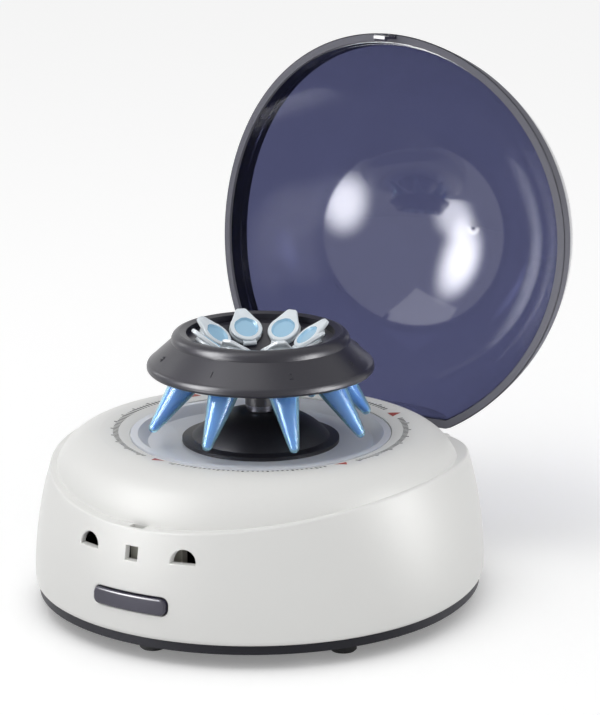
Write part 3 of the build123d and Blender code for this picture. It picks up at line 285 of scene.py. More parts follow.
@dataclass(frozen=True)
class Moulding:
    """Opaque moulded plastic or rubber with a fine grain, a slow mottle, rubbed edges and a little dust."""

    name: str
    colour: Colour
    roughness: float
    grain: float = 0.04
    grain_scale: float = 2400.0
    mottle: float = 0.03
    wear: float = 0.25
    wear_colour: Colour = (0.6, 0.6, 0.6)
    dust: float = 0.05
    specular: float = 0.5
    coat: float = 0.0
    subsurface: float = 0.0

    def material(self) -> bpy.types.Material:
        """Builds the finish once.

        Returns:
            The material.
        """
        if self.name in bpy.data.materials:
            return bpy.data.materials[self.name]
        made, sheet, shader = _new_material(self.name)
        grain = sheet.node("ShaderNodeGroup", {"node_tree": GROUPS.moulded_grain()},
                           Grain_Scale=self.grain_scale)
        wear = sheet.node("ShaderNodeGroup", {"node_tree": GROUPS.edge_wear()}, Amount=self.wear)
        dust = sheet.node("ShaderNodeGroup", {"node_tree": GROUPS.settled_dust()}, Amount=self.dust)
        darker = tuple(value * (1 - self.mottle) for value in self.colour)
        lighter = tuple(min(1.0, value * (1 + self.mottle)) for value in self.colour)
        body = sheet.mix(grain.outputs["Mottle"], darker, lighter)
        worn = sheet.mix(wear.outputs["Mask"], body, self.wear_colour)
        dusty = sheet.mix(dust.outputs["Mask"], worn, DUST)
        sheet.feed(shader, "Base Color", dusty)
        spread = sheet.node("ShaderNodeMapRange", Value=grain.outputs["Mottle"])
        sheet.feed(spread, "To Min", max(0.0, self.roughness - ROUGHNESS_SPREAD))
        sheet.feed(spread, "To Max", min(1.0, self.roughness + ROUGHNESS_SPREAD))
        rough = sheet.math("ADD", spread.outputs["Result"], dust.outputs["Mask"])
        sheet.feed(shader, "Roughness", rough)
        shader.inputs["Specular IOR Level"].default_value = self.specular
        shader.inputs["Coat Weight"].default_value = self.coat
        shader.inputs["Coat Roughness"].default_value = COAT_ROUGHNESS
        shader.inputs["Subsurface Weight"].default_value = self.subsurface
        shader.inputs["Subsurface Radius"].default_value = (1.0, 0.9, 0.8)
        shader.inputs["Subsurface Scale"].default_value = 0.001
        bump = sheet.node("ShaderNodeBump", Strength=self.grain, Height=grain.outputs["Height"])
        bump.inputs["Distance"].default_value = GRAIN_HEIGHT
        sheet.feed(shader, "Normal", bump.outputs["Normal"])
        return made


@dataclass(frozen=True)
class ClearMoulding:
    """See-through plastic that tints what is behind it, with faint haze and flow marks."""

    name: str
    colour: Colour
    roughness: float
    ior: float = 1.49
    transmission: float = 1.0
    haze: float = 0.02
    haze_scale: float = 60.0
    ripple: float = 0.0
    ripple_scale: float = 90.0

    def material(self) -> bpy.types.Material:
        """Builds the finish once.

        Returns:
            The material.
        """
        if self.name in bpy.data.materials:
            return bpy.data.materials[self.name]
        made, sheet, shader = _new_material(self.name)
        grain = sheet.node("ShaderNodeGroup", {"node_tree": GROUPS.moulded_grain()},
                           Grain_Scale=self.ripple_scale, Mottle_Scale=self.haze_scale)
        deeper = tuple(value * 0.94 for value in self.colour)
        sheet.feed(shader, "Base Color", sheet.mix(grain.outputs["Mottle"], deeper, self.colour))
        spread = sheet.node("ShaderNodeMapRange", Value=grain.outputs["Mottle"])
        sheet.feed(spread, "To Min", self.roughness)
        sheet.feed(spread, "To Max", self.roughness + self.haze)
        sheet.feed(shader, "Roughness", spread.outputs["Result"])
        shader.inputs["IOR"].default_value = self.ior
        shader.inputs["Transmission Weight"].default_value = self.transmission
        if self.ripple:
            bump = sheet.node("ShaderNodeBump", Strength=self.ripple, Height=grain.outputs["Height"])
            bump.inputs["Distance"].default_value = RIPPLE_HEIGHT
            sheet.feed(shader, "Normal", bump.outputs["Normal"])
        return made


class Lay(Enum):
    """Which way the tool marks of a metal piece run."""

    TURNED = "turned"
    DRAWN_UP = "drawn_up"
    DRAWN_ACROSS = "drawn_across"


@dataclass(frozen=True)
class Metal:
    """Bare or plated metal with fine tool marks and a slow stain."""

    name: str
    colour: Colour
    roughness: float
    lay: Lay = Lay.TURNED
    marks: float = 0.06
    stain: float = 0.12

    def material(self) -> bpy.types.Material:
        """Builds the finish once.

        Returns:
            The material.
        """
        if self.name in bpy.data.materials:
            return bpy.data.materials[self.name]
        made, sheet, shader = _new_material(self.name)
        grain = sheet.node("ShaderNodeGroup", {"node_tree": GROUPS.moulded_grain()}, Mottle_Scale=70.0)
        dull = tuple(value * (1 - self.stain) for value in self.colour)
        sheet.feed(shader, "Base Color", sheet.mix(grain.outputs["Mottle"], dull, self.colour))
        shader.inputs["Metallic"].default_value = 1.0
        place = sheet.node("ShaderNodeTexCoord").outputs["Object"]
        stretch = {Lay.TURNED: (200.0, 200.0, 6000.0), Lay.DRAWN_UP: (5000.0, 5000.0, 60.0),
                   Lay.DRAWN_ACROSS: (60.0, 5000.0, 5000.0)}[self.lay]
        lines = sheet.node("ShaderNodeMapping", Vector=place, Scale=stretch)
        marks = sheet.node("ShaderNodeTexNoise", Vector=lines.outputs["Vector"], Scale=1.0, Detail=2.0)
        spread = sheet.node("ShaderNodeMapRange", Value=marks.outputs["Fac"])
        sheet.feed(spread, "To Min", max(0.0, self.roughness - MARK_SPREAD))
        sheet.feed(spread, "To Max", self.roughness + MARK_SPREAD)
        sheet.feed(shader, "Roughness", spread.outputs["Result"])
        bump = sheet.node("ShaderNodeBump", Strength=self.marks, Height=marks.outputs["Fac"])
        bump.inputs["Distance"].default_value = MARK_HEIGHT
        sheet.feed(shader, "Normal", bump.outputs["Normal"])
        return made


@dataclass(frozen=True)
class Print:
    """Thin printed ink."""

    name: str
    colour: Colour

    def material(self) -> bpy.types.Material:
        """Builds the finish once.

        Returns:
            The material.
        """
        if self.name in bpy.data.materials:
            return bpy.data.materials[self.name]
        made, sheet, shader = _new_material(self.name)
        grain = sheet.node("ShaderNodeGroup", {"node_tree": GROUPS.moulded_grain()}, Grain_Scale=5200.0)
        faded = tuple(value * 1.25 + 0.01 for value in self.colour)
        sheet.feed(shader, "Base Color", sheet.mix(grain.outputs["Height"], self.colour, faded))
        shader.inputs["Roughness"].default_value = 0.55
        return made


WHITE_CASING = Moulding("white_satin_casing", linear(229, 229, 227), 0.46, grain=0.05, mottle=0.008,
                        wear=0.12, wear_colour=linear(240, 239, 236), dust=0.02, specular=0.2)
BOWL_GREY = Moulding("pale_blue_grey_bowl", linear(212, 215, 223), 0.33, grain=0.03, mottle=0.012, wear=0.1,
                     wear_colour=linear(226, 228, 234), dust=0.03)
BLACK_CASING = Moulding("black_fine_casing", linear(24, 24, 31), 0.45, grain=0.08, mottle=0.08, wear=0.08,
                        wear_colour=linear(70, 70, 80), dust=0.01, specular=0.22)
ROTOR_BLACK = Moulding("charcoal_rotor", linear(38, 37, 46), 0.3, grain=0.1, mottle=0.06, wear=0.12,
                       wear_colour=linear(84, 83, 94), dust=0.01, specular=0.4)
SMOKE_BUTTON = Moulding("smoke_dark_button", linear(44, 42, 60), 0.22, grain=0.02, mottle=0.12, wear=0.2,
                        wear_colour=linear(90, 88, 108), dust=0.01, coat=0.35)
SMOKE_CLEAR = ClearMoulding("smoke_blue_lid", linear(79, 82, 115), 0.05, ior=1.5, haze=0.03)
TUBE_WALL = ClearMoulding("blue_tinted_tube_wall", (0.56, 0.87, 0.99), 0.08, ior=1.36, transmission=0.88,
                          haze=0.06, ripple=0.3)
TUBE_LIQUID = ClearMoulding("bright_blue_liquid", (0.003, 0.11, 0.5), 0.08, ior=1.34, transmission=0.3,
                            haze=0.05)
CAP_FROST = ClearMoulding("frosted_cap", (0.88, 0.94, 0.985), 0.22, ior=1.45, transmission=0.1, haze=0.15,
                          ripple=0.2)
CAP_DISH = ClearMoulding("frosted_cap_dish", (0.42, 0.68, 0.88), 0.16, ior=1.45, transmission=0.1, haze=0.1,
                         ripple=0.2)
RUBBER = Moulding("black_rubber", linear(26, 26, 28), 0.72, grain=0.25, mottle=0.15, wear=0.1,
                  wear_colour=linear(60, 60, 62), dust=0.12)
# painted shade: near-black, barely glossy colour on the lid seal and the lid's edge sheet, standing in for
# the dark edge of the smoked lid seen edge-on
SEAL_RIM_SHADE = Moulding("dark_seal", linear(12, 12, 17), 0.28, grain=0.04, mottle=0.1, wear=0.0, dust=0.0,
                       specular=0.12)
NATURAL_PLASTIC = Moulding("natural_acetal", linear(216, 214, 202), 0.45, mottle=0.03)
BOARD_GREEN = Moulding("green_board", linear(24, 88, 54), 0.32, grain=0.15, grain_scale=900.0, mottle=0.15,
                       coat=0.3)
COMPONENT = Moulding("component_black", linear(32, 32, 36), 0.5, grain=0.2, mottle=0.1)
CONNECTOR = Moulding("plug_block_cream", linear(224, 218, 198), 0.42, mottle=0.05)
LEAD_RED = Moulding("lead_insulation", linear(158, 34, 30), 0.4, mottle=0.06)
STEEL = Metal("drawn_steel", (0.56, 0.56, 0.58), 0.3, Lay.DRAWN_UP)
PIN_STEEL = Metal("pin_steel", (0.6, 0.6, 0.62), 0.22, Lay.DRAWN_ACROSS)
SCREW_STEEL = Metal("plated_screw_steel", (0.5, 0.5, 0.52), 0.34, Lay.TURNED)
# painted reflection: the near-black metal colour stands in for the dark surroundings mirrored in the turned
# collar
COLLAR_DARK_REFLECTION = Metal("dark_turned_collar", (0.1, 0.1, 0.12), 0.2, Lay.TURNED)
CORE_IRON = Metal("core_iron", (0.36, 0.24, 0.16), 0.5, Lay.TURNED, marks=0.3)
FERRITE = Moulding("ground_ferrite", linear(58, 58, 62), 0.55, grain=0.3, mottle=0.1)
BRONZE = Metal("sintered_bronze", (0.62, 0.42, 0.22), 0.42, Lay.TURNED, marks=0.2)
INK_BLACK = Print("scale_ink", linear(38, 36, 38))
INK_BRICK = Print("mark_ink", linear(150, 62, 52))

NODE_FINISHES = {
    WHITE_CASING: ("lower_housing", "top_deck"),
    BOWL_GREY: ("rotor_bowl",),
    BLACK_CASING: ("base_plate", "motor_cowl", "motor_end_cap", "power_socket"),
    ROTOR_BLACK: ("rotor_body",),
    SMOKE_BUTTON: ("release_button", "lid_hook"),
    SMOKE_CLEAR: ("lid_shell",),
    SEAL_RIM_SHADE: ("lid_seal",),
    RUBBER: ("rubber_feet", "rubber_grommets", "lid_bumpers"),
    NATURAL_PLASTIC: ("latch_slide", "button_guide"),
    BOARD_GREEN: ("control_board",),
    COMPONENT: ("board_components", "lid_sensor"),
    CONNECTOR: ("board_connectors",),
    LEAD_RED: ("internal_leads",),
    STEEL: ("motor_can", "motor_bracket", "motor_shaft", "button_spring", "lid_magnet"),
    PIN_STEEL: ("hinge_pin",),
    SCREW_STEEL: ("base_screws", "deck_screws", "bracket_screws", "motor_screws", "board_screws"),
    COLLAR_DARK_REFLECTION: ("drive_collar",),
    CORE_IRON: ("motor_armature",),
    FERRITE: ("motor_magnets",),
    BRONZE: ("motor_bushes", "motor_terminals", "socket_pin"),
}


def new_object(name: str, mesh: bmesh.types.BMesh, finishes: Sequence[object],
               smooth_angle: float = 35.0) -> bpy.types.Object:
    """Turns a bmesh into a shown object with its materials, shaded smooth but for its real edges.

    Args:
        name: the object's name.
        mesh: the shape, in metres in the row's frame. It is freed.
        finishes: the finishes of its material slots, in order.
        smooth_angle: an edge that turns more than this many degrees stays sharp.

    Returns:
        The object.
    """
    bmesh.ops.recalc_face_normals(mesh, faces=mesh.faces[:])
    limit = math.radians(smooth_angle)
    for face in mesh.faces:
        face.smooth = True
    for edge in mesh.edges:
        if len(edge.link_faces) == 2:
            edge.smooth = edge.calc_face_angle(0.0) < limit
    data = bpy.data.meshes.new(name)
    mesh.to_mesh(data)
    mesh.free()
    for finish in finishes:
        data.materials.append(finish.material())
    made = bpy.data.objects.new(name, data)
    bpy.context.scene.collection.objects.link(made)
    return made


def lathe(mesh: bmesh.types.BMesh, profile: Profile, segments: int, place: Matrix) -> None:
    """Adds a surface of revolution about the local Z axis.

    Args:
        mesh: the bmesh that gets the faces.
        profile: radius and height of each point, in metres. A point at radius 0 becomes one vertex.
        segments: number of steps round the axis.
        place: where the local frame goes.
    """
    rings = []
    for radius, height in profile:
        if radius < 1e-9:
            rings.append([mesh.verts.new(place @ Vector((0, 0, height)))])
            continue
        ring = []
        for step in range(segments):
            turn = 2 * math.pi * step / segments
            corner = Vector((radius * math.cos(turn), radius * math.sin(turn), height))
            ring.append(mesh.verts.new(place @ corner))
        rings.append(ring)
    for low, high in zip(rings, rings[1:]):
        for step in range(segments):
            after = (step + 1) % segments
            if len(low) == 1 and len(high) == 1:
                continue
            if len(low) == 1:
                corners = (low[0], high[after], high[step])
            elif len(high) == 1:
                corners = (low[step], low[after], high[0])
            else:
                corners = (low[step], low[after], high[after], high[step])
            mesh.faces.new(corners)


def arc(centre: tuple[float, float], radius: float, start: float, end: float,
        steps: int) -> list[tuple[float, float]]:
    """Points of an arc in a profile.

    Args:
        centre: the arc's centre as radius and height.
        radius: the arc's own radius.
        start: first angle in degrees.
        end: last angle in degrees.
        steps: number of steps between them.

    Returns:
        The points, both ends included.
    """
    points = []
    for step in range(steps + 1):
        angle = math.radians(start + (end - start) * step / steps)
        points.append((centre[0] + radius * math.cos(angle), centre[1] + radius * math.sin(angle)))
    return points


class DressedNodes:
    """The CAD nodes that keep their own shape and get a finish."""

    def dress(self) -> None:
        """Gives each node its finish."""
        for finish, names in NODE_FINISHES.items():
            for name in names:
                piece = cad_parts[name]
                piece.data.materials.clear()
                piece.data.materials.append(finish.material())
                LOG.info("dressed %s in %s", name, finish.name)


@dataclass
class SampleTubes:
    """Eight capped tubes that hang in the rotor, tips outwards."""

    count: int = 8
    first_angle: float = 5.0
    tilt: float = 37.0
    tip_radius: float = 40.0 * MM
    tip_height: float = 63.0 * MM
    radius: float = 5.1 * MM
    nose_radius: float = 1.8 * MM
    cone_length: float = 19.0 * MM
    length: float = 35.3 * MM
    wall: float = 0.9 * MM
    shoulder: float = 0.25 * MM
    shoulder_rise: float = 2.0 * MM
    edge: float = 0.25 * MM
    collar_radius: float = 5.85 * MM
    collar_height: float = 1.4 * MM
    cap_radius: float = 5.8 * MM
    cap_height: float = 1.5 * MM
    cap_edge: float = 0.3 * MM
    dish_rim: float = 4.35 * MM
    dish_floor: float = 3.7 * MM
    dish_depth: float = 0.85 * MM
    plug_gap: float = 0.1 * MM
    plug_depth: float = 2.6 * MM
    plug_taper: float = 0.95
    tab_angle: int = 48
    tab_reach: float = 8.7 * MM
    tab_half: float = 1.7 * MM
    strap_gap: float = 0.15 * MM
    strap_thickness: float = 0.9 * MM
    strap_drop: float = 0.85 * MM
    strap_half: float = 2.4 * MM
    strap_inset: float = 0.6 * MM
    strap_seat: float = 0.1 * MM
    liquid_level: float = 24.0 * MM
    liquid_gap: float = 0.06 * MM
    segments: int = 40

    def place(self, index: int) -> Matrix:
        """Frame of one tube: origin at its tip, local Z up its axis, local X outwards.

        Args:
            index: which tube, from 0.

        Returns:
            The matrix from the tube's frame to the row's.
        """
        angle = math.radians(self.first_angle + index * 360 / self.count - 90)
        turn = Matrix.Rotation(angle, 4, "Z")
        move = Matrix.Translation((self.tip_radius, 0, self.tip_height))
        return turn @ move @ Matrix.Rotation(math.radians(-self.tilt), 4, "Y")

    def outer_profile(self) -> list[tuple[float, float]]:
        """Outside of a tube, from the tip up to the collar's top.

        Returns:
            Radius and height of each point.
        """
        nose = arc((0, self.nose_radius), self.nose_radius, -90, -12, 7)
        top = self.length + self.collar_height
        edge = self.edge
        return nose + [
            (self.radius - self.shoulder, self.cone_length),
            (self.radius, self.cone_length + self.shoulder_rise),
            (self.radius, self.length - edge),
            (self.radius + edge, self.length),
            (self.collar_radius - edge, self.length),
            (self.collar_radius, self.length + edge),
            (self.collar_radius, top - edge),
            (self.collar_radius - edge, top),
            (self.radius - self.wall, top),
        ]

    def inner_profile(self, gap: float = 0.0) -> list[tuple[float, float]]:
        """Inside of a tube, from the tip up.

        Args:
            gap: how far inside the wall the points lie.

        Returns:
            Radius and height of each point.
        """
        inset = self.wall + gap
        nose_radius = self.nose_radius - inset * 0.6
        nose = arc((0, inset + nose_radius), nose_radius, -90, -12, 6)
        return nose + [
            (self.radius - self.shoulder - inset, self.cone_length),
            (self.radius - inset, self.cone_length + self.shoulder_rise),
        ]

    def build_tube(self, index: int) -> bpy.types.Object:
        """One tube with its collar, open at the top.

        Args:
            index: which tube, from 0.

        Returns:
            The tube.
        """
        mesh = bmesh.new()
        inner = self.inner_profile() + [(self.radius - self.wall, self.length + self.collar_height)]
        profile = self.outer_profile()[:-1] + inner[::-1]
        place = self.place(index)
        lathe(mesh, profile, self.segments, place)
        back = place.inverted()
        for face in mesh.faces:
            if (back @ face.calc_center_median()).z > self.length - 1.0 * MM:
                face.material_index = 1
        tube = new_object("tube_%d_moulded" % (index + 1), mesh, [TUBE_WALL, CAP_FROST])
        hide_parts("tube_%d" % (index + 1))
        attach(tube, "rotor")
        return tube

    def build_liquids(self) -> bpy.types.Object:
        """The liquid of all the tubes.

        Returns:
            The liquids as one object.
        """
        mesh = bmesh.new()
        for index in range(self.count):
            points = self.inner_profile(self.liquid_gap)
            points.append((points[-1][0], self.liquid_level))
            points.append((0.0, self.liquid_level))
            lathe(mesh, points, self.segments, self.place(index))
        liquids = new_object("tube_contents", mesh, [TUBE_LIQUID])
        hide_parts("tube_liquids")
        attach(liquids, "rotor")
        return liquids

    def build_cap(self, index: int) -> bpy.types.Object:
        """One snap cap: dished disc with a tab outwards, a plug below and a hinge strap.

        Args:
            index: which cap, from 0.

        Returns:
            The cap.
        """
        mesh = bmesh.new()
        place = self.place(index)
        foot = self.length + self.collar_height
        top = foot + self.cap_height
        outline = self.cap_outline()
        edge = self.cap_edge
        levels = [(foot, edge), (foot + edge, 0.0), (top - edge, 0.0), (top, edge)]
        loops = []
        for height, inset in levels:
            shrink = 1 - inset / self.cap_radius
            loops.append([mesh.verts.new(place @ Vector((x * shrink, y * shrink, height)))
                          for x, y in outline])
        count = len(outline)
        for low, high in zip(loops, loops[1:]):
            for step in range(count):
                after = (step + 1) % count
                mesh.faces.new((low[step], low[after], high[after], high[step]))
        angles = [math.atan2(y, x) for x, y in outline]
        rim = self._ring(mesh, place, angles, self.dish_rim, top)
        floor = self._ring(mesh, place, angles, self.dish_floor, top - self.dish_depth)
        centre = mesh.verts.new(place @ Vector((0, 0, top - self.dish_depth)))
        plug_radius = self.radius - self.wall - self.plug_gap
        plug_foot = foot - self.plug_depth
        plug_high = self._ring(mesh, place, angles, plug_radius, foot)
        plug_low = self._ring(mesh, place, angles, plug_radius * self.plug_taper, plug_foot)
        under = mesh.verts.new(place @ Vector((0, 0, plug_foot)))
        for step in range(count):
            after = (step + 1) % count
            mesh.faces.new((loops[-1][step], loops[-1][after], rim[after], rim[step]))
            mesh.faces.new((rim[step], rim[after], floor[after], floor[step])).material_index = 1
            mesh.faces.new((floor[step], floor[after], centre)).material_index = 1
            mesh.faces.new((loops[0][after], loops[0][step], plug_high[step], plug_high[after]))
            mesh.faces.new((plug_high[after], plug_high[step], plug_low[step], plug_low[after]))
            mesh.faces.new((plug_low[after], plug_low[step], under))
        self._add_strap(mesh, place, foot)
        cap = new_object("tube_cap_%d_moulded" % (index + 1), mesh, [CAP_FROST, CAP_DISH])
        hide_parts("tube_cap_%d" % (index + 1))
        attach(cap, "rotor")
        return cap

    def _ring(self, mesh: bmesh.types.BMesh, place: Matrix, angles: Sequence[float], radius: float,
              height: float) -> list[bmesh.types.BMVert]:
        """Adds a ring of vertices round the tube's axis.

        Args:
            mesh: the bmesh that gets them.
            place: the tube's frame.
            angles: where they stand, in radians from local +X.
            radius: their distance from the axis.
            height: their height in the tube's frame.

        Returns:
            The vertices.
        """
        return [mesh.verts.new(place @ Vector((radius * math.cos(angle), radius * math.sin(angle), height)))
                for angle in angles]

    def _add_strap(self, mesh: bmesh.types.BMesh, place: Matrix, foot: float) -> None:
        """Adds the hinge strap that folds from the cap down past the collar.

        Args:
            mesh: the cap's bmesh.
            place: the tube's frame.
            foot: height of the cap's underside.
        """
        inner = self.collar_radius + self.strap_gap
        outer = inner + self.strap_thickness
        root = -self.cap_radius + self.strap_inset
        seat = foot + self.strap_seat
        low = self.length + self.strap_drop
        high = foot + self.cap_height * 0.5
        round_off = 0.4 * MM
        outline = [
            (root, seat),
            (-inner, seat),
            (-inner, low),
            (-inner - self.strap_thickness / 2, low - 0.15 * MM),
            (-outer, low + round_off / 2),
            (-outer, high - round_off),
            (-outer + round_off, high),
            (root, high),
        ]
        sides = []
        for y in (-self.strap_half, self.strap_half):
            sides.append([mesh.verts.new(place @ Vector((x, y, z))) for x, z in outline])
        count = len(outline)
        for step in range(count):
            after = (step + 1) % count
            mesh.faces.new((sides[0][step], sides[0][after], sides[1][after], sides[1][step]))
        mesh.faces.new(sides[0][::-1])
        mesh.faces.new(sides[1])

    def cap_outline(self) -> list[tuple[float, float]]:
        """Outline of the cap: round, with a tapered blunt tab towards local +X.

        Returns:
            Points round the outline, in local X and Y.
        """
        points = []
        for degrees in range(self.tab_angle, 361 - self.tab_angle, 6):
            angle = math.radians(degrees)
            points.append((self.cap_radius * math.cos(angle), self.cap_radius * math.sin(angle)))
        corner = 0.5 * MM
        flare = self.tab_half + 0.3 * MM
        blunt = self.tab_half - 0.4 * MM
        points.append((self.tab_reach - corner, -flare))
        points.append((self.tab_reach, -blunt))
        points.append((self.tab_reach, blunt))
        points.append((self.tab_reach - corner, flare))
        return points

    def build(self) -> None:
        """Builds the tubes, their contents and their caps."""
        self.build_liquids()
        for index in range(self.count):
            self.build_tube(index)
            self.build_cap(index)
            LOG.info("built tube %d and its cap", index + 1)


@dataclass
class LidEdgeShade:
    """Painted shade: a thin near-black sheet just off the outside of the lid's rim, standing in for the dark
    look of the smoked plastic seen edge-on.
    """

    axis_y: float = -2.0 * MM
    rim_radius: float = 74.9 * MM
    flank_radius: float = 120.0 * MM
    flank_start: float = 10.0
    seat_low: float = 45.0 * MM
    seat_radius: float = 286.0 * MM
    rear_y: float = 64.0 * MM
    hinge: tuple[float, float] = (68.4 * MM, 44.6 * MM)
    open_angle: float = 97.3
    seal_top: float = 0.5 * MM
    height: float = 11.0 * MM
    skin: float = 0.14 * MM
    skin_foot: float = 0.02 * MM
    rows: int = 5
    steps: int = 240

    def swing(self) -> Matrix:
        """Matrix from the shut lid to where it stands open."""
        y, z = self.hinge
        move = Matrix.Translation((0, y, z))
        return move @ Matrix.Rotation(math.radians(-self.open_angle), 4, "X") @ move.inverted()

    def point(self, turn: float, rise: float, lift: float) -> Vector:
        """Point on the shut lid's outer flank.

        Args:
            turn: radians from the front towards +X.
            rise: height above the lid seat.
            lift: how far it stands off the flank.

        Returns:
            The point.
        """
        start = math.radians(self.flank_start)
        centre_radius = self.rim_radius - self.flank_radius * math.cos(start)
        centre_height = self.seat_low - self.flank_radius * math.sin(start)
        radius = self.rim_radius
        for _ in range(3):
            x, y = self._plan(turn, radius, lift)
            height = self.seat_low + self.seat_radius - math.sqrt(self.seat_radius ** 2 - x ** 2) + rise
            flank = self.flank_radius + lift
            radius = centre_radius + math.sqrt(flank ** 2 - (height - centre_height) ** 2)
        x, y = self._plan(turn, radius, lift)
        return Vector((x, y, height))

    def _plan(self, turn: float, radius: float, lift: float) -> tuple[float, float]:
        """Plan place on the rim's circle, cut off flat at the back.

        Args:
            turn: radians from the front towards +X.
            radius: the circle's radius there.
            lift: how far it stands off the flat back.

        Returns:
            X and Y.
        """
        x = radius * math.sin(turn)
        y = self.axis_y - radius * math.cos(turn)
        limit = self.rear_y + lift
        if y > limit:
            share = (limit - self.axis_y) / (y - self.axis_y)
            x *= share
            y = limit
        return x, y

    def build(self) -> None:
        """Builds the sheet of painted shade."""
        mesh = bmesh.new()
        swing = self.swing()
        reach = self.height - self.seal_top
        rises = [self.seal_top + reach * row / self.rows for row in range(self.rows + 1)]
        rows = [(rise, self.skin) for rise in rises] + [(rise, self.skin_foot) for rise in reversed(rises)]
        loops = []
        for rise, lift in rows:
            loops.append([mesh.verts.new(swing @ self.point(2 * math.pi * step / self.steps, rise, lift))
                          for step in range(self.steps)])
        for low, high in zip(loops, loops[1:] + loops[:1]):
            for step in range(self.steps):
                after = (step + 1) % self.steps
                mesh.faces.new((low[step], low[after], high[after], high[step]))
        # painted shade: near-black sheet over the lid's outer flank by the rim, where the plastic itself only
        # looks dark
        edge = new_object("lid_dark_edge", mesh, [SEAL_RIM_SHADE])
        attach(edge, "lid")
        LOG.info("built the lid's dark edge")


@dataclass
class RotorNumbers:
    """Small raised position numbers on the rotor's cone, one at each tube."""

    count: int = 8
    first_angle: float = 5.0
    foot_radius: float = 38.7 * MM
    foot_height: float = 85.9 * MM
    head_radius: float = 31.2 * MM
    head_height: float = 92.8 * MM
    share: float = 0.42
    size: float = 3.4 * MM
    relief: float = 0.18 * MM
    bevel: float = 0.04 * MM

    def build(self) -> None:
        """Builds the numbers."""
        slope = math.atan2(self.head_height - self.foot_height, self.foot_radius - self.head_radius)
        radius = self.foot_radius + (self.head_radius - self.foot_radius) * self.share
        height = self.foot_height + (self.head_height - self.foot_height) * self.share
        for index in range(self.count):
            curve = bpy.data.curves.new("rotor_number_%d" % (index + 1), "FONT")
            curve.body = str(index + 1)
            curve.size = self.size
            curve.extrude = self.relief
            curve.bevel_depth = self.bevel
            curve.align_x = "CENTER"
            curve.align_y = "CENTER"
            digit = bpy.data.objects.new("rotor_number_shape", curve)
            bpy.context.scene.collection.objects.link(digit)
            depsgraph = bpy.context.evaluated_depsgraph_get()
            data = bpy.data.meshes.new_from_object(digit.evaluated_get(depsgraph))
            bpy.data.objects.remove(digit)
            turn = Matrix.Rotation(math.radians(self.first_angle + index * 360 / self.count), 4, "Z")
            lean = Matrix.Rotation(slope, 4, "X")
            data.transform(turn @ Matrix.Translation((0, -radius, height)) @ lean)
            data.materials.clear()
            data.materials.append(ROTOR_BLACK.material())
            number = bpy.data.objects.new("rotor_number_%d" % (index + 1), data)
            bpy.context.scene.collection.objects.link(number)
            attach(number, "rotor")
        LOG.info("raised the rotor's position numbers")


@dataclass
class DeckScale:
    """Fine printed ring of ticks round the bowl, with brick-red marks between its stretches."""

    lid_centre_y: float = -2.0 * MM
    crest_radius: float = 55.4 * MM
    crest_centre_height: float = 29.0 * MM
    fall_radius: float = 32.0 * MM
    inner: float = 50.0 * MM
    tick: float = 1.9 * MM
    long_tick: float = 2.8 * MM
    tick_width: float = 0.75 * MM
    step: float = 1.875
    mark_angles: tuple[float, ...] = (-11.0, 66.0, 144.0, 242.0)
    mark_gap: float = 7.0
    mark_inset: float = 0.6 * MM
    mark_reach: float = 3.4 * MM
    mark_width: float = 5.0 * MM
    mark_tip: float = 0.3 * MM
    long_every: int = 5
    patch_rows: int = 4
    lift: float = 0.04 * MM

    def on_deck(self, radius: float, angle: float) -> Vector:
        """Point just above the deck.

        Args:
            radius: distance from the rotor's axis.
            angle: radians from the front towards +X.

        Returns:
            The point in the row's frame.
        """
        x = radius * math.sin(angle)
        y = -radius * math.cos(angle)
        from_crest = math.hypot(x, y - self.lid_centre_y) - self.crest_radius
        height = self.crest_centre_height + math.sqrt(self.fall_radius ** 2 - from_crest ** 2)
        return Vector((x, y, height + self.lift))

    def build(self) -> None:
        """Builds the ticks and the marks."""
        ticks = bmesh.new()
        count = int(360 / self.step)
        for number in range(count):
            degrees = number * self.step - 180
            near = min(abs((degrees - mark + 180) % 360 - 180) for mark in self.mark_angles)
            if near < self.mark_gap:
                continue
            reach = self.long_tick if number % self.long_every == 0 else self.tick
            self._patch(ticks, degrees, self.inner, self.inner + reach, self.tick_width, self.tick_width)
        scale = new_object("deck_scale", ticks, [INK_BLACK])
        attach(scale, "base")
        marks = bmesh.new()
        for mark in self.mark_angles:
            self._patch(marks, mark, self.inner - self.mark_inset, self.inner + self.mark_reach,
                        self.mark_width, self.mark_tip)
        pointers = new_object("deck_marks", marks, [INK_BRICK])
        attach(pointers, "base")
        LOG.info("printed the deck's scale and marks")

    def _patch(self, mesh: bmesh.types.BMesh, degrees: float, low: float, high: float, low_width: float,
               high_width: float) -> None:
        """Adds one thin printed patch that follows the deck.

        Args:
            mesh: the bmesh that gets it.
            degrees: its angle from the front towards +X.
            low: its inner radius.
            high: its outer radius.
            low_width: its width at the inner radius.
            high_width: its width at the outer radius.
        """
        middle = math.radians(degrees)
        before = None
        for row in range(self.patch_rows + 1):
            share = row / self.patch_rows
            radius = low + (high - low) * share
            half = (low_width + (high_width - low_width) * share) / 2 / radius
            pair = [mesh.verts.new(self.on_deck(radius, middle + side * half)) for side in (-1, 1)]
            if before:
                mesh.faces.new((before[0], before[1], pair[1], pair[0]))
            before = pair


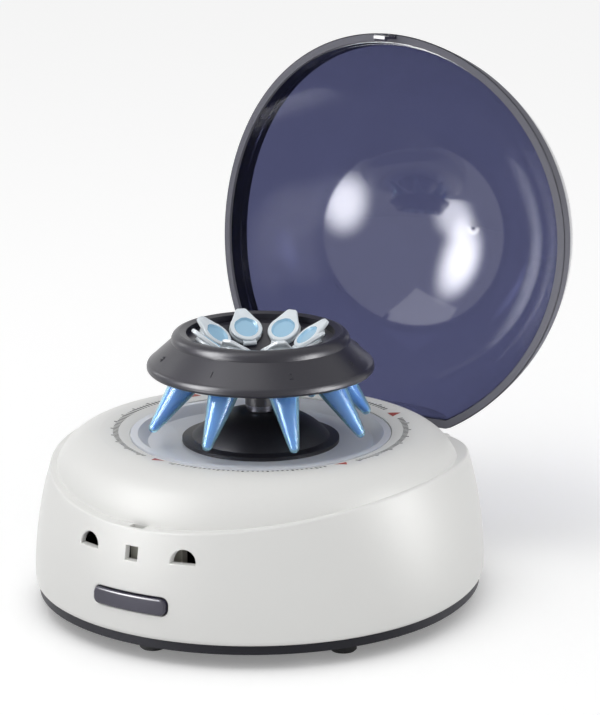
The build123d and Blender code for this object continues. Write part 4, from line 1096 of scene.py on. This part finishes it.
@dataclass(frozen=True)
class GlossLamp:
    """A soft oval lamp that shows in the gloss of the lid, the rotor and the tubes."""

    name: str
    place: tuple[float, float, float]
    aim: tuple[float, float, float]
    width: float
    height: float
    radiance: float

    def build(self) -> None:
        """Builds the lamp."""
        data = bpy.data.lights.new(self.name, "AREA")
        data.shape = "ELLIPSE"
        data.size = self.width
        data.size_y = self.height
        data.energy = math.pi * (math.pi / 4 * self.width * self.height)
        data.use_nodes = True
        data.node_tree.nodes.clear()
        sheet = Sheet(data.node_tree)
        across = sheet.node("ShaderNodeNewGeometry").outputs["Parametric"]
        off = sheet.node("ShaderNodeVectorMath", {"operation": "DISTANCE"})
        sheet.feed(off, "0", across)
        sheet.feed(off, "1", (0.5, 0.5, 0.0))
        fade = sheet.node("ShaderNodeMapRange", {"interpolation_type": "SMOOTHERSTEP"},
                          Value=off.outputs["Value"])
        sheet.feed(fade, "From Min", 0.5)
        sheet.feed(fade, "From Max", 0.05)
        sheet.feed(fade, "To Max", self.radiance)
        glow = sheet.node("ShaderNodeEmission", Strength=fade.outputs["Result"])
        sheet.node("ShaderNodeOutputLight", Surface=glow.outputs["Emission"])
        lamp = bpy.data.objects.new(self.name, data)
        lamp.location = self.place
        lamp.rotation_mode = "QUATERNION"
        lamp.rotation_quaternion = (Vector(self.aim) - Vector(self.place)).to_track_quat("-Z", "Y")
        lamp.visible_camera = False
        lamp.visible_diffuse = False
        bpy.context.scene.collection.objects.link(lamp)


@dataclass
class Studio:
    """Pale floor, soft light and the camera."""

    azimuth: float = 32.35
    elevation: float = 14.73
    distance: float = 1.13667
    target: tuple[float, float, float] = (0.01164, 0.00737, 0.08657)
    lens: float = 163.85
    ambient: float = 0.74
    gloss_lamps: tuple[GlossLamp, ...] = (
        GlossLamp("gloss_near_right", (0.138, 0.017, 0.072), (-0.046, 0.132, 0.118), 0.15, 0.19, 17.0),
        GlossLamp("gloss_left_high", (-0.193, -0.279, 0.266), (-0.004, 0.147, 0.091), 0.34, 0.58, 22.0),
        GlossLamp("gloss_left_low", (-0.12, -0.29, 0.075), (-0.002, 0.15, 0.115), 0.30, 0.30, 12.0),
        GlossLamp("gloss_far_left", (-0.6, 0.02, 0.3), (0.0, 0.05, 0.1), 0.12, 0.4, 8.0),
        GlossLamp("gloss_far_right", (0.6, 0.15, 0.25), (0.0, 0.1, 0.1), 0.12, 0.4, 8.0),
    )
    top_radiance: float = 1.6
    top_size: float = 0.7
    top_place: tuple[float, float, float] = (-0.15, -0.35, 1.1)
    floor_half: float = 5.0
    floor_tone: float = 0.93
    floor_glow: float = 0.2

    def direction(self, azimuth: float, elevation: float) -> Vector:
        """Direction from the object, its azimuth counted from the front towards +X.

        Args:
            azimuth: degrees from the front.
            elevation: degrees above the horizon.

        Returns:
            The unit vector.
        """
        turn = math.radians(azimuth)
        rise = math.radians(elevation)
        return Vector((math.sin(turn) * math.cos(rise), -math.cos(turn) * math.cos(rise), math.sin(rise)))

    def build_camera(self) -> None:
        """Places the camera at the photograph's viewpoint."""
        back = self.direction(self.azimuth, self.elevation)
        data = bpy.data.cameras.new("camera")
        data.lens = self.lens
        camera = bpy.data.objects.new("camera", data)
        camera.location = Vector(self.target) + back * self.distance
        camera.rotation_mode = "QUATERNION"
        camera.rotation_quaternion = (-back).to_track_quat("-Z", "Y")
        bpy.context.scene.collection.objects.link(camera)
        bpy.context.scene.camera = camera

    def _seen(self, sheet: Sheet) -> bpy.types.NodeSocket:
        """1 where the background is looked at, directly or in gloss or glass, and 0 where it lights.

        Args:
            sheet: the node tree that gets the nodes.

        Returns:
            The socket with that number.
        """
        path = sheet.node("ShaderNodeLightPath")
        seen = sheet.math("MAXIMUM", path.outputs["Is Camera Ray"], path.outputs["Is Glossy Ray"])
        return sheet.math("MAXIMUM", seen, path.outputs["Is Transmission Ray"])

    def build_world(self) -> None:
        """White surroundings: full strength where they are looked at, softer where they light."""
        world = bpy.data.worlds.new("studio")
        bpy.context.scene.world = world
        world.use_nodes = True
        world.node_tree.nodes.clear()
        sheet = Sheet(world.node_tree)
        seen = self._seen(sheet)
        strength = sheet.node("ShaderNodeMapRange", Value=seen)
        sheet.feed(strength, "To Min", self.ambient)
        sheet.feed(strength, "To Max", 1.0)
        light = sheet.node("ShaderNodeBackground", Color=(1.0, 1.0, 1.0), Strength=strength.outputs["Result"])
        sheet.node("ShaderNodeOutputWorld", Surface=light.outputs["Background"])

    def build_floor(self) -> None:
        """Plain pale floor that keeps the object's shadow."""
        mesh = bmesh.new()
        half = self.floor_half
        places = ((-half, -half), (half, -half), (half, half), (-half, half))
        mesh.faces.new([mesh.verts.new((x, y, 0.0)) for x, y in places])
        material = bpy.data.materials.new("pale_floor")
        material.use_nodes = True
        material.node_tree.nodes.clear()
        sheet = Sheet(material.node_tree)
        seen = self._seen(sheet)
        diffuse = sheet.node("ShaderNodeBsdfDiffuse", Color=(self.floor_tone,) * 3)
        shown = sheet.math("MULTIPLY", seen, self.floor_glow)
        glow = sheet.node("ShaderNodeEmission", Color=(1.0, 1.0, 1.0), Strength=shown)
        both = sheet.node("ShaderNodeAddShader")
        sheet.feed(both, "0", diffuse.outputs["BSDF"])
        sheet.feed(both, "1", glow.outputs["Emission"])
        sheet.node("ShaderNodeOutputMaterial", Surface=both.outputs["Shader"])
        data = bpy.data.meshes.new("floor")
        mesh.to_mesh(data)
        mesh.free()
        data.materials.append(material)
        floor = bpy.data.objects.new("floor", data)
        bpy.context.scene.collection.objects.link(floor)

    def build_lamps(self) -> None:
        """A large soft box above and the lamps for the gloss."""
        top = bpy.data.lights.new("soft_box_above", "AREA")
        top.size = self.top_size
        top.energy = self.top_radiance * math.pi * self.top_size ** 2
        above = bpy.data.objects.new("soft_box_above", top)
        above.location = self.top_place
        above.rotation_mode = "QUATERNION"
        above.rotation_quaternion = (-Vector(self.top_place)).to_track_quat("-Z", "Y")
        above.visible_camera = False
        bpy.context.scene.collection.objects.link(above)
        for lamp in self.gloss_lamps:
            lamp.build()

    def build(self) -> None:
        """Builds all of it."""
        bpy.context.scene.view_settings.view_transform = "Standard"
        self.build_camera()
        self.build_world()
        self.build_floor()
        self.build_lamps()
        LOG.info("set up the studio")


def main() -> None:
    """Builds the scene."""
    logging.basicConfig(level=logging.INFO, format="%(name)s: %(message)s")
    Studio().build()
    DressedNodes().dress()
    SampleTubes().build()
    RotorNumbers().build()
    LidEdgeShade().build()
    DeckScale().build()


if __name__ == "__main__":
    main()
